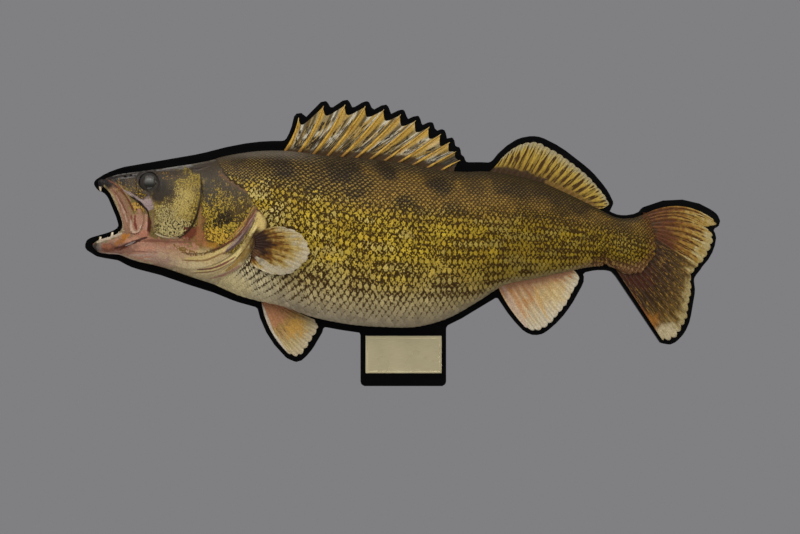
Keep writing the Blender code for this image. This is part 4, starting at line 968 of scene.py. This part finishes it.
def buildScales():
    table = coatTable()
    places = scalePlaces(table)
    print("scales", len(places))
    a, b, w, upper, faces = scaleTemplate()
    each = len(a)
    jitter = np.random.default_rng(7).normal(0, 1, (len(places), 4))
    finish = scaleMaterial()
    for name, low, high in scales["pieces"]:
        chosen = (places[:, 0] >= low) & (places[:, 0] < high)
        x0, t0, pitch, gap, between = places[chosen].T[:, :, None]
        shift = jitter[chosen].T[:, :, None]
        vary = [amount * one for amount, one in zip(scales["vary"], shift)]
        turn = vary[2]
        length = scales["length"] * pitch * (1 + vary[0])
        goes, side = a * length, b * w * scales["halfWidth"] * gap * (1 + vary[1])
        x = x0 + goes * np.cos(turn) - side * np.sin(turn)
        t = t0 + side * np.cos(turn) + goes * np.sin(turn)
        height = scales["rootHeight"] + (scales["tipHeight"] - scales["rootHeight"]) * a
        height = height + scales["dome"] * (1 - b**2) * a - (1 - upper) * scales["thickness"]
        place = sample(table, "points", x, t) + sample(table, "normal", x, t) * height[:, None]
        place = place * mm + [0, midY, 0]
        allFaces = [[v + n * each for v in face] for n in range(len(x)) for face in faces]
        piece = meshPiece(name, place.reshape(-1, 3), allFaces)
        centre, reach = scales["middle"]
        middleX, _, middleZ = sample(table, "points", (x0 + 0.7 * length)[:, 0], t0[:, 0]).T
        fill, edge, spot = trunkMarkings(middleX, middleZ, between[:, 0])
        share = bodyShare(middleX, middleZ)
        brightness = 1 + vary[3]
        setAttribute(piece, "markings", np.repeat(fill * brightness, each, axis=0))
        setAttribute(piece, "edging", np.repeat(edge, each, axis=0))
        setAttribute(piece, "spot", np.repeat(spot, each))
        setAttribute(piece, "ragged", np.repeat(linearly(flankTones["ragged"], share), each))
        tall = linearly(flankTones["tall"], share)[:, None]
        setAttribute(piece, "rimReach", np.hypot((a - centre) / reach, b * w / tall).ravel())
        addBakeMap(piece, x0, t0, a, b * w)
        dress(piece, "skin", finish)
        print(name, len(x), "scales")


# Each scale is a small patch at its root's place on the unrolled skin
def addBakeMap(piece, x, t, a, b):
    size = 0.003
    span = max(np.ptp(x), np.ptp(t)) * 1.02 + 1
    u = ((x - x.min()) / span + size + (a - 0.5) * size).ravel()
    v = ((t - t.min()) / span + size + b * 0.5 * size).ravel()
    index = np.empty(len(piece.data.loops), int)
    piece.data.loops.foreach_get("vertex_index", index)
    layer = piece.data.uv_layers.new(name="OFBake")
    layer.data.foreach_set("uv", np.stack([u[index], v[index]], axis=1).ravel())


# Fins

fins = dict(
    dorsal_fin_soft=dict(
        roots="back", span=(104, 238), rays=20, bow=(-1, -0.5), height=(2.2, 1.0), samples=12, rows=36,
        tips=[(120, 106), (131, 116), (148, 125), (163, 126), (180, 119), (210, 98.5), (235, 76),
              (250, 56), (253, 49), (247, 44.5)],
        tones=[(0, 0x422C12), (0.1, 0x62491A), (0.4, 0x866C26), (0.75, 0x927A34),
               (0.9, 0x8C7E54), (1, 0x80765A)], streaks=(0x3E2808, 0.6, 0.05, 0.95),
        coarse=0.8, webbed=0.75, ribbed=0.5, streaky=0.1,
        marks=[
            stroke([100, 90, 125, 90, 150, 84, 175, 77], 12, 0x3C2A16),
            stroke([175, 77, 205, 63, 238, 46], 6, 0x6E5222)]),
    anal_fin=dict(
        slot="pale_fin", roots="belly",
        span=(116, 207), rays=13, bow=(-2.5, 0.5), height=(2.2, 1.0), samples=12, rows=34,
        tips=[(150, -104), (158, -108), (166, -108), (182, -97), (200, -75), (210, -57), (216, -41),
              (211, -34)],
        tones=[(0, 0x966A4E), (0.15, 0xA67C5A), (0.4, 0xB2966E), (0.7, 0xB6A482),
               (1, 0xB8AE96)], streaks=(0xAA7642, 0.42, 0.05, 0.75),
        coarse=0.6, streaky=0.25,
        marks=[
            stroke([114, -52, 150, -45, 205, -34], 12, 0xA07454),
            stroke([122, -54, 138, -82, 152, -104], 7, 0xBA9E8C, 0.5, 0.7, strength=0.6),
            patch(184, -62, 18, 14, 0xBEA05C, 0.5, 0.7, strength=0.45),
            stroke([134, -58, 142, -76, 150, -92], 5, 0xBC885C, 0.5, 0.8, strength=0.7),
            stroke([160, -54, 170, -78, 176, -92], 4, 0xC09858, 0.6, 0.8, strength=0.6)]),
    pelvic_fin=dict(
        slot="pale_fin", roots="belly",
        span=(-177, -152), rays=8, bow=(-6.5, 0), height=(2.6, 1.1), samples=14, rows=34,
        tips=[(-143, -136.5), (-133, -140.5), (-122, -131), (-112, -115), (-106.5, -103),
              (-111, -93.5)],
        tones=[(0, 0xA67452), (0.25, 0xA6764C), (0.5, 0xA2804A), (0.8, 0xAE9A6C),
               (1, 0xB6A88A)], streaks=(0x7A502A, 0.4, 0.05, 0.75),
        marks=[
            patch(-162, -84, 14, 16, 0xAE7A54), patch(-136, -104, 12, 12, 0xC09242, 0.5, strength=0.8),
            stroke([-176, -76, -166, -104, -145, -136], 5, 0xBEB29E, 0.3)]),
    tail_fin_upper=dict(
        roots="tail", span=(0.092, 0.325), rays=10, bow=(12, 0.5), height=(2.4, 1.0), samples=12, rows=38,
        tips=[(383, 31), (387, 25.5), (379, 21.5), (371, 21), (378, 17), (382, 10), (381, 0),
              (374, -16), (363, -29)],
        tones=[(0, 0x3E2C14), (0.08, 0x502D16), (0.26, 0x562F12), (0.42, 0x6A4614),
               (0.6, 0x7C5C22), (0.8, 0x886E32), (0.95, 0x948252), (1, 0x968860)],
        streaks=(0x422408, 0.54, 0.05, 0.9), coarse=0.5, webbed=0.7, ribbed=0.4, streaky=0.42,
        marks=[
            patch(322, 6, 12, 18, 0x4E2814, 0.7, 0.9, strength=0.7, under=0.8),
            patch(372, 24, 16, 6, 0x927638, 0.6, strength=0.6, under=0.6),
            stroke([378, 12, 374, -14, 362, -30], 10, 0x98885A, 0.7, 0.8, strength=0.7, under=0.6)]),
    tail_fin_lower=dict(
        roots="tail", span=(0.318, 0.85), rays=13, bow=(-0.5, 0), height=(2.4, 1.0), samples=12, rows=38,
        tips=[(364.5, -27.5), (356.5, -38), (355, -58), (352, -78), (347, -100), (339, -113),
              (328, -120.5), (319, -119)],
        tones=[(0, 0x382810), (0.12, 0x321D0C), (0.35, 0x301E09), (0.6, 0x38270C),
               (0.82, 0x503C18), (0.93, 0x7C683A), (1, 0x928258)],
        streaks=(0x7E5E24, 0.34, 0.12, 1.0), coarse=0.4, webbed=0, ribbed=0.45, streaky=0.2,
        marks=[
            stroke([255, -36, 280, -66, 312, -108], 7, 0x70421C, 0.5, 0.6, under=0.6),
            patch(286, -42, 22, 14, 0x3C1C0C, 0.5, 0.7, strength=0.8, under=0.6),
            stroke([363, -32, 353, -58, 350, -84, 344, -104], 12, 0x96865A, 0.7, 0.8,
                   strength=0.8, under=0.5),
            patch(308, -96, 9, 8, 0x8C5A1C, 0.6, 0.9, turn=-30, strength=0.8),
            patch(334, -113, 22, 12, 0xAA9C7A, 0.4, 0.5, turn=-20)]),
)
pectoral = dict(
    roots=[(-181, 9), (-179.5, 0), (-183, -10), (-187, -16)],
    tips=[(-146, 20), (-130, 15), (-117, 0), (-114.5, -13), (-124, -27), (-140, -37.5), (-160, -38),
          (-181, -29)],
    slot="pale_fin", rays=12, bow=(4.5, -2), height=(2.0, 0.9), lift=5, gap=0.2, sink=0.03,
    samples=14, rows=38,
    tones=[(0, 0x2A160A), (0.2, 0x301B0C), (0.36, 0x6A4616), (0.52, 0x927434),
           (0.72, 0xA28C56), (0.86, 0xA69774), (1, 0xACA084)],
    streaks=(0x5C3A14, 0.52, 0.2, 0.7), coarse=0.5, webbed=0.6, streaky=0.3,
    marks=[
        stroke([-180, -17, -165, -28, -140, -36, -118, -24], 9, 0xAA9E82),
        patch(-178, 1, 14, 16, 0x2A160A, 0.4, 0.5), patch(-181, -11, 6, 6, 0x54381E)])
finWalls = dict(
    webShare=0.78, minTip=0.35, notch=0.035, uneven=0.02, sink=0.06, thinTip=0.35,
    # where a ray forks and forks again, how wide its rib is before and after, and how far both forks part
    fork=(0.34, 0.95), secondFork=(0.66, 1.1), ribWidth=(0.2, 0.085), parting=(0.24, 0.115),
    ripple=0.5, hollow=-0.2)


# Rows of points from each root to its tip, bowed more or less from the first ray to the last
def rayColumns(roots, tips, bow, rows):
    share = np.linspace(0, 1, len(roots))[:, None, None]
    rise = bow[0] + (bow[1] - bow[0]) * share
    chord = tips - roots
    side = np.stack([-chord[:, 1], chord[:, 0]], axis=1)
    side /= np.linalg.norm(side, axis=1, keepdims=True)
    t = rows[None, :, None]
    bulge = np.where(t > 0, 4 * t * (1 - t), 0)
    return roots[:, None] + chord[:, None] * t + side[:, None] * rise * bulge


# Ribs across one ray's width: one at the root, forked twice towards the tip
def rayProfile(cell, along):
    first, second = smooth(*finWalls["fork"], along), smooth(*finWalls["secondFork"], along)
    (wide, slim), (apart, further) = finWalls["ribWidth"], finWalls["parting"]
    width = wide * (1 - first) + slim * first
    ribs = np.zeros(np.broadcast(cell, along).shape)
    for one in (-1, 1):
        for two in (-1, 1):
            centre = one * apart * first + two * further * second
            ribs = np.maximum(ribs, np.exp(-((cell - centre) / width)**2))
    return ribs


# A ribbed plate over baseY: its piece, and each point's rib and place along
def finSurface(name, shape, columns, baseY):
    count, rows = columns.shape[:2]
    across = np.linspace(0, 1, count)[:, None]
    along = np.broadcast_to(np.linspace(0, 1, rows)[None, :], (count, rows))
    cell = across * (shape["rays"] - 1)
    ribs = rayProfile(cell - np.round(cell), along)
    web = finWalls["webShare"]
    thick = np.interp(along, [0, 1], shape["height"]) * (web + (1 - web) * ribs)
    thick = np.maximum(thick, finWalls["minTip"]) * (1 - finWalls["thinTip"] * smooth(0.9, 1, along))
    ripple = finWalls["ripple"] * np.sin(across * shape["rays"] * 0.9 + along * 3) * along
    x, z = columns[..., 0], columns[..., 1]
    y = baseY(x, z, along)
    piece = plate(name, x, y - thick - np.maximum(ripple, finWalls["hollow"]), y + 0 * x, z)
    return piece, ribs.ravel(), along.ravel()


def plate(name, x, front, back, z):
    points = [np.stack([x, y, z], axis=-1).reshape(-1, 3) for y in (front, back)]
    return outward(meshPiece(name, np.concatenate(points) * mm, plateFaces(*x.shape)))


def finPiece(name, shape, columns, baseY):
    piece, ribs, along = finSurface(name + "_dressed", shape, columns, baseY)
    x, z = columns[..., 0].ravel(), columns[..., 1].ravel()
    cell = np.repeat(np.linspace(0, shape["rays"] * 7, len(columns)), columns.shape[1])
    streaky = grain(cell / 3, along * 3, 1, 8) + grain(x, z, 3, 13) - 1
    tones = byHeight(shape["tones"], np.clip(along + shape.get("streaky", 0.06) * streaky, 0, 1))
    ribbed = shape.get("ribbed", 0.3)
    colours = layered(tones * (1 - 0.4 * ribbed + ribbed * ribs[:, None]))
    tone, amount, start, stop = shape["streaks"]
    colours[:, 3:6] = linear(tone)
    colours[:, 6] = amount * smooth(start - 0.1, start + 0.1, along) * smooth(stop + 0.1, stop - 0.1, along)
    colours[:, 6] *= 1 - shape.get("webbed", 0.4) * ribs
    colours[:, 7] = shape.get("coarse", 0.3)
    colours = paintOver(colours, x, z, shape["marks"])
    length = np.hypot(*(columns[:, -1] - columns[:, 0]).T).mean()
    place = np.stack([cell, along * length, 0 * x], axis=1)
    setLayers(piece, np.vstack([colours, colours]), np.vstack([place, place]))
    dress(piece, shape.get("slot", "fin"), finFinish, name)


# The webs end a little short of the rays, and no two rays are quite as long
def raggedTips(roots, shape):
    count, rays = len(roots), shape["rays"]
    tips = smoothPath(shape["tips"], count)
    cell = np.linspace(0, rays - 1, count)
    length = 1 - finWalls["uneven"] * np.random.default_rng(rays).random(rays)
    length = np.interp(cell, np.arange(rays), length)
    web = np.abs(cell - np.round(cell)) * 2
    return roots + (tips - roots) * (length - finWalls["notch"] * web**2)[:, None]


def finColumns(shape, roots):
    rows = np.linspace(-shape.get("sink", finWalls["sink"]), 1, shape["rows"])
    return rayColumns(roots, raggedTips(roots, shape), shape["bow"], rows)


def softFin(name):
    shape = fins[name]
    count = shape["rays"] * shape["samples"]
    if shape["roots"] == "tail":
        line = smoothPath(body["tailRoot"], 60)
        along, run = np.linspace(*shape["span"], count), np.linspace(0, 1, len(line))
        roots = np.stack([np.interp(along, run, line[:, k]) for k in (0, 1)], axis=1)
    else:
        x = np.linspace(*shape["span"], count)
        roots = np.stack([x, lineAt(shape["roots"] + "Line", x)], axis=1)
    finPiece(name, shape, finColumns(shape, roots), lambda x, z, along: body["backY"] + 0 * x)


def pectoralFin():
    roots = smoothPath(pectoral["roots"], pectoral["rays"] * pectoral["samples"])

    def onFlank(x, z, along):
        lift = pectoral["lift"] * np.clip(along, 0, 1) ** 1.5
        return midY / mm - flankDepth(x, z) - pectoral["gap"] - lift
    finPiece("pectoral_fin", pectoral, finColumns(pectoral, roots), onFlank)


spiny = dict(
    spines=12, footFirst=-148, footLast=45, leanFirst=22.5, leanGain=39, webFoot=17, webTip=(19, 8),
    length=[(0, 45), (0.09, 65), (0.18, 73), (0.36, 79), (0.55, 74), (0.7, 66), (0.85, 50), (1, 27)],
    radius=[(0, 2.0), (0.6, 1.4), (1, 0.45)], drop=10.5, rearThinner=0.35, steps=18, around=12,
    notch=[(0, 0), (0.1, 0.6), (0.22, 1), (0.4, 0.96), (0.7, 0.5), (1, 0)],
    samples=18, rows=40, bow=(-3, 0.5), sink=0.06,
    # the web's thickness, its loss towards the tips and between two spines, and its folds
    thick=1.9, thinner=0.7, sag=0.45, folds=0.22, standing=2.2, straighter=3.5,
    spine=0xBA943E, spineRoot=0x805C28, spineTip=0xB8A068, spineStreak=0x784E1E, web=0x84744E,
    # the web's streaks: tone, width, run and the range over which they show
    streaks=[(0xB8B29E, 3, 26, 0.42, 0.56), (0x98782C, 2.2, 20, 0.6, 0.7), (0x483A20, 2, 13, 0.5, 0.66)],
    olive=0x483A20, specks=0x281F12, band=0x3A2814, dark=0x2E2920,
    bandHeight=[(-150, 3), (-120, 6), (-60, 9), (20, 10), (45, 8)])


def spineLine(share):
    footX = spiny["footFirst"] + (spiny["footLast"] - spiny["footFirst"]) * share
    foot = np.array([footX, float(lineAt("backLine", footX))])
    lean = math.radians(spiny["leanFirst"] + spiny["leanGain"] * (1 - max(0, 1 - share) ** 1.5))
    length = float(spline(spiny["length"], share))
    return foot, foot + length * np.array([math.sin(lean), math.cos(lean)])


# Twelve spines, each a tapering round rod, and the web that dips behind every tip
def spinyFin():
    count = spiny["spines"]
    lines = [spineLine(k / (count - 1)) for k in range(count)]
    last = lines[-1][0]
    lines.append((last + (spiny["webFoot"], 0), last + spiny["webTip"]))
    roots, tips, cells = [], [], []
    for k in range(count):
        for f in np.linspace(0, 1, spiny["samples"], endpoint=False):
            foot, tip = (lines[k][end] * (1 - f) + lines[k + 1][end] * f for end in (0, 1))
            way = (tip - foot) / np.linalg.norm(tip - foot)
            drop = spiny["drop"] * float(spline(spiny["notch"], f)) if k < count - 1 else 0
            drop *= 1 - 0.7 * float(smooth(8, 10.5, k + f))
            roots.append([foot[0], float(lineAt("backLine", foot[0]))])
            tips.append(tip - way * 1.5 - np.array([0.25, 1]) * drop)
            cells.append(k + f)
    rows = np.linspace(-spiny["sink"], 1, spiny["rows"])
    columns = rayColumns(np.array(roots), np.array(tips), spiny["bow"], rows)
    x, z = columns[..., 0], columns[..., 1]
    along = np.broadcast_to(np.linspace(0, 1, spiny["rows"])[None, :], x.shape)
    cells = np.broadcast_to(np.array(cells)[:, None], x.shape)
    f = cells - np.floor(cells)
    sag = spiny["sag"] * np.sin(np.clip(f, 0, 1) * math.pi) * (0.4 + 0.6 * along)
    folds = spiny["folds"] * np.sin(f * 22 + along * 5)
    thick = spiny["thick"] - spiny["thinner"] * along - sag + folds * along
    web = plate("spiny_web", x, body["backY"] - thick, body["backY"] + 0 * x, z)
    paintWeb(web, *(values.ravel() for values in (x, z, along, f, cells)))
    rods = joined([spineRod(k, *line) for k, line in enumerate(lines[:count])], "spiny_spines")
    dress(web, "fin", finFinish, "dorsal_fin_spiny")
    dress(rods, "fin", finFinish)


def paintWeb(web, x, z, along, f, cells):
    ground = np.broadcast_to(linear(spiny["web"]), (len(x), 3))
    for layer, (tone, across, run, low, high) in enumerate(spiny["streaks"]):
        streak = grain(cells * 16 / across, along * 60 / run, 1, 71 + layer)
        ground = mix(ground, linear(tone), smooth(low, high, streak) * 0.85)
    gold = np.clip(smooth(0.18, 0.08, f) + smooth(0.88, 0.97, f), 0, 1)
    ground = mix(ground, linear(spiny["spine"]), 0.8 * gold)
    ground = mix(ground, linear(spiny["olive"]), 0.5 * smooth(0.4, 0.1, along) * (1 - gold))
    ground = ground * (1 - 0.35 * smooth(7.5, 9.5, cells) * (1 - gold))[:, None]
    last = smooth(9.7, 10.1, cells) * smooth(0.1, 0.3, along)
    ground = mix(ground, linear(spiny["dark"]), last * (0.88 - 0.3 * gold))
    height, deep = z - lineAt("backLine", x), spline(spiny["bandHeight"], x)
    band = 1 - smooth(deep - 2.5, deep + 1.5, height + 3 * (grain(x, z, 4, 79) - 0.5))
    colours = layered(mix(ground, linear(spiny["band"]), band * 0.92))
    colours[:, 3:6] = linear(spiny["specks"])
    colours[:, 6] = (0.42 + 0.14 * smooth(0.6, 0.2, along)) * (1 - 0.75 * gold) * smooth(1, 0.8, along)
    colours[:, 6] *= 1 - band
    colours[:, 7] = 0.5
    place = np.stack([cells * 15, along * 60, 0 * x], axis=1)
    setLayers(web, np.vstack([colours, colours]), np.vstack([place, place]))


def spineRod(k, foot, tip):
    steps, around = spiny["steps"], spiny["around"]
    share = np.linspace(-0.04, 1, steps)
    bow = spiny["bow"][0] + spiny["straighter"] * k / (spiny["spines"] - 1)
    column = rayColumns(foot[None], tip[None], (bow, bow), share)[0]
    radius = spline(spiny["radius"], np.clip(share, 0, 1)) * (1 - spiny["rearThinner"] * k / spiny["spines"])
    way = np.gradient(column, axis=0)
    way /= np.linalg.norm(way, axis=1, keepdims=True)
    turns = np.linspace(0, 2 * math.pi, around, endpoint=False)
    wide, deep = radius[:, None] * np.cos(turns), radius[:, None] * np.sin(turns)
    points = np.stack([column[:, :1] - way[:, 1:] * wide, body["backY"] - spiny["standing"] - deep,
                       column[:, 1:] + way[:, :1] * wide], axis=-1).reshape(-1, 3)
    rod = outward(meshPiece(f"spine_{k}", points * mm, tubeFaces(steps, around)))
    tone = mix(np.broadcast_to(linear(spiny["spineRoot"]), (len(points), 3)), linear(spiny["spine"]),
               np.repeat(smooth(0.02, 0.2, share), around))
    tone = mix(tone, linear(spiny["spineTip"]), np.repeat(smooth(0.8, 1, share), around) * 0.8)
    layers = layered(tone)
    layers[:, 3:6] = linear(spiny["spineStreak"])
    layers[:, 6], layers[:, 7] = 0.36, 0.6
    run = np.repeat(share, around) * 60
    setLayers(rod, layers, np.stack([np.tile(np.arange(around) * 0.8, steps), run, run * 0 + k], axis=1))
    return rod


# Eye, teeth, plaque and board

eyeStops = [(0.0, 0x20211D), (0.40, 0x22221E), (0.5, 0x24231F), (0.56, 0x403626), (0.6, 0x2E2A26),
            (0.8, 0x34322E), (1.0, 0x1E1C1A)]


def eyeMaterial():
    made = Finish("eyeFinish", 0.14, Specular_IOR_Level=0.16)
    centre = (-eye["centre"][0] * mm, 0, -eye["centre"][1] * mm)
    place = made.add("Mapping", {"Vector": made.add("TexCoord").outputs["Object"], "Location": centre})
    x, _, z = made.add("SeparateXYZ", place.outputs[:1]).outputs
    flat = made.add("CombineXYZ", {"X": x, "Z": z}).outputs[0]
    radius = made.add("VectorMath", (flat,), operation="LENGTH").outputs["Value"]
    ring = made.add("ValToRGB", (made.ranged(radius, 0, eye["size"][0] * mm),))
    stops = ring.color_ramp.elements
    while len(stops) < len(eyeStops):
        stops.new(0.5)
    for stop, (at, tone) in zip(stops, eyeStops):
        stop.position, stop.color = at, (*linear(tone), 1)
    # a pale grey haze over the pupil: the walleye's milky eye, made lighter towards the top as painted
    # highlight
    hazeAndHighlight = made.ranged(z, -0.003, 0.006, kind="SMOOTHSTEP")
    inner = made.ranged(radius, 0.0042, 0.0078, 1, 0, "SMOOTHSTEP")
    made.colour(ring.outputs[0], 0x6E6E6B, made.math("MULTIPLY", hazeAndHighlight, inner))
    return made.material


def buildEye():
    piece = ball("glass_eye", eyeCentre(), np.array(eye["size"]) * mm, 64)
    only(piece)
    bpy.ops.object.shade_smooth()
    dress(piece, "eye", eyeMaterial(), "eye")


teeth = dict(
    # root x, z, length, lean, radius
    upper=[(-375.6, 72, 7, 6, 2.5), (-365, 68, 4.5, -20, 1.4), (-356, 53, 3.6, -42, 1.1)],
    lower=[(-376, 1, 8, 2, 3.0), (-367, 5, 3.4, 5, 1.3), (-360.5, 6.5, 8, 0, 2.8), (-352, 12, 3, 0, 1.2)],
    sink=1.5, taper=0.4, curl=0.9)


def tooth(up, rootX, rootZ, length, lean, radius):
    clean()
    full = (length + teeth["sink"]) * mm
    bpy.ops.mesh.primitive_cone_add(vertices=14, radius1=radius * mm, depth=full,
                                    radius2=radius * teeth["taper"] * mm)
    one = bpy.context.object
    bpy.ops.object.mode_set(mode="EDIT")
    bpy.ops.mesh.subdivide(number_cuts=3)
    bpy.ops.object.mode_set(mode="OBJECT")
    points = readPoints(one)
    points[:, 0] += teeth["curl"] * mm * (points[:, 2] / full + 0.5)**2
    points[:, 2] += full / 2 - teeth["sink"] * mm
    angle = math.radians(lean)
    way = np.array([-math.sin(angle), 0, up * math.cos(angle)])
    across = np.array([up * way[2], 0, -up * way[0]])
    depth = midY / mm - float(flankDepth(np.array(rootX), np.array(rootZ))) + body["lip"] / 2
    turned = points[:, :1] * across + points[:, 1:2] * np.array([0, 1, 0]) + points[:, 2:] * way
    setPoints(one, turned + np.array([rootX, depth, rootZ]) * mm)
    return outward(one)


def buildTeeth():
    rows = [(-1, *row) for row in teeth["upper"]] + [(1, *row) for row in teeth["lower"]]
    piece = joined([tooth(*row) for row in rows], "teeth")
    bpy.ops.object.shade_smooth()
    ivory = Finish("toothFinish", 0.25, Coat_Weight=0.4)
    ivory.colour(0xD6CAB0, 0xBEAA86, ivory.ranged(ivory.noise(700, 3), 0.3, 0.7))
    dress(piece, "mouth", ivory.material)


plaque = dict(centre=(-1.2, -136.8), size=(94, 1.2, 46), edge=0.35, border=3.2, groove=0.5, step=0.12,
              bevel=0.3)


def buildPlaque():
    clean()
    bpy.ops.mesh.primitive_cube_add(size=1)
    piece = named(bpy.context.object, "brass_plaque")
    bpy.ops.object.mode_set(mode="EDIT")
    bpy.ops.mesh.select_all(action="SELECT")
    bpy.ops.transform.resize(value=tuple(value * mm for value in plaque["size"]))
    bpy.ops.object.mode_set(mode="OBJECT")
    x, z = plaque["centre"]
    setPoints(piece, readPoints(piece) + np.array([x, body["backY"] - plaque["size"][1] / 2, z]) * mm)
    bm = bmesh.new()
    bm.from_mesh(piece.data)
    face = min(bm.faces, key=lambda item: item.calc_center_median().y)
    for inset, sunk in ((plaque["border"], 0), (plaque["step"], plaque["edge"]), (plaque["groove"], 0),
                        (plaque["step"], -plaque["edge"])):
        bmesh.ops.inset_region(bm, faces=[face], thickness=inset * mm, depth=-sunk * mm * 0.6)
    bm.to_mesh(piece.data)
    bm.free()
    applyModifier(piece, "BEVEL", width=plaque["bevel"] * mm, segments=2, limit_method="ANGLE")
    brass = Finish("brassFinish", 0.3, Metallic=0.5)
    brushed = brass.noise(90, 6, (1, 1, 26))
    brass.colour(0xD8CEA6, 0xC8BB92, brass.ranged(brushed, 0.3, 0.7))
    brass.feed(brass.shader, {"Roughness": brass.ranged(brass.noise(26, 2), 0.35, 0.65, 0.22, 0.42)})
    brass.bump(brushed, 0.00004)
    dress(piece, "plaque", brass.material, "plaque")


def dressBoard():
    made = Finish("lacquerFinish", 0.3, Specular_IOR_Level=0.07)
    grainy = made.ranged(made.noise(26, 6, (0.35, 4, 4)), 0.35, 0.65)
    made.colour((0.0008, 0.0008, 0.001, 1), (0.0018, 0.0018, 0.002, 1), grainy)
    made.bump(made.noise(60, 3), 0.0001)
    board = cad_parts["board"]
    target = board if isinstance(board, bpy.types.Object) else bpy.data.objects[board]
    for slot in target.material_slots:
        slot.material = made.material


stage = dict(radius=0.8, at=(0, 0, -0.5), light=0xC4C3C5, lighter=0xCAC9CB)


def buildStage():
    clean()
    bpy.ops.mesh.primitive_circle_add(vertices=128, radius=stage["radius"], fill_type="NGON",
                                      location=stage["at"])
    floor = bpy.context.object
    floor.name = "floor"
    made = Finish("floorFinish", 0.9)
    made.colour(stage["light"], stage["lighter"], made.ranged(made.noise(3, 2), 0.3, 0.7))
    floor.data.materials.append(made.material)


def buildStudio():
    scene = bpy.context.scene
    camera = bpy.data.cameras.new("camera")
    camera.sensor_width = studio["sensor"]
    camera.lens = studio["sensor"] * studio["distance"] / studio["framed"]
    placed = bpy.data.objects.new("camera", camera)
    x, z = studio["centre"]
    placed.location = (x * mm, -studio["distance"] + backY, z * mm)
    placed.rotation_euler = (math.pi / 2, 0, 0)
    scene.collection.objects.link(placed)
    scene.camera = placed
    for name, (place, size, power, colour) in studio["lamps"].items():
        lamp = bpy.data.lights.new(name, "AREA")
        lamp.shape = "RECTANGLE"
        lamp.size, lamp.size_y = size
        lamp.energy, lamp.color = power, colour
        hung = bpy.data.objects.new(name, lamp)
        hung.location = place
        hung.rotation_euler = (Vector(studio["aim"]) - Vector(place)).to_track_quat("-Z", "Y").to_euler()
        scene.collection.objects.link(hung)
    world = bpy.data.worlds.new("studio")
    world.use_nodes = True
    ground = world.node_tree.nodes["Background"]
    ground.inputs[0].default_value = (*linear(studio["world"]), 1)
    ground.inputs[1].default_value = 1
    scene.world = world
    scene.view_settings.view_transform = "Standard"


buildStudio()
buildStage()
buildSkin()
buildScales()
finFinish = paintedMaterial("finFinish", 0.42, 0.0002, (0.9, 0.16, 1), (0.45, 0.07, 1), "speckPlace")
for fin in fins:
    softFin(fin)
pectoralFin()
spinyFin()
print("fins dressed")
buildEye()
buildTeeth()
buildPlaque()
dressBoard()
print("eye, teeth, plaque and board dressed")
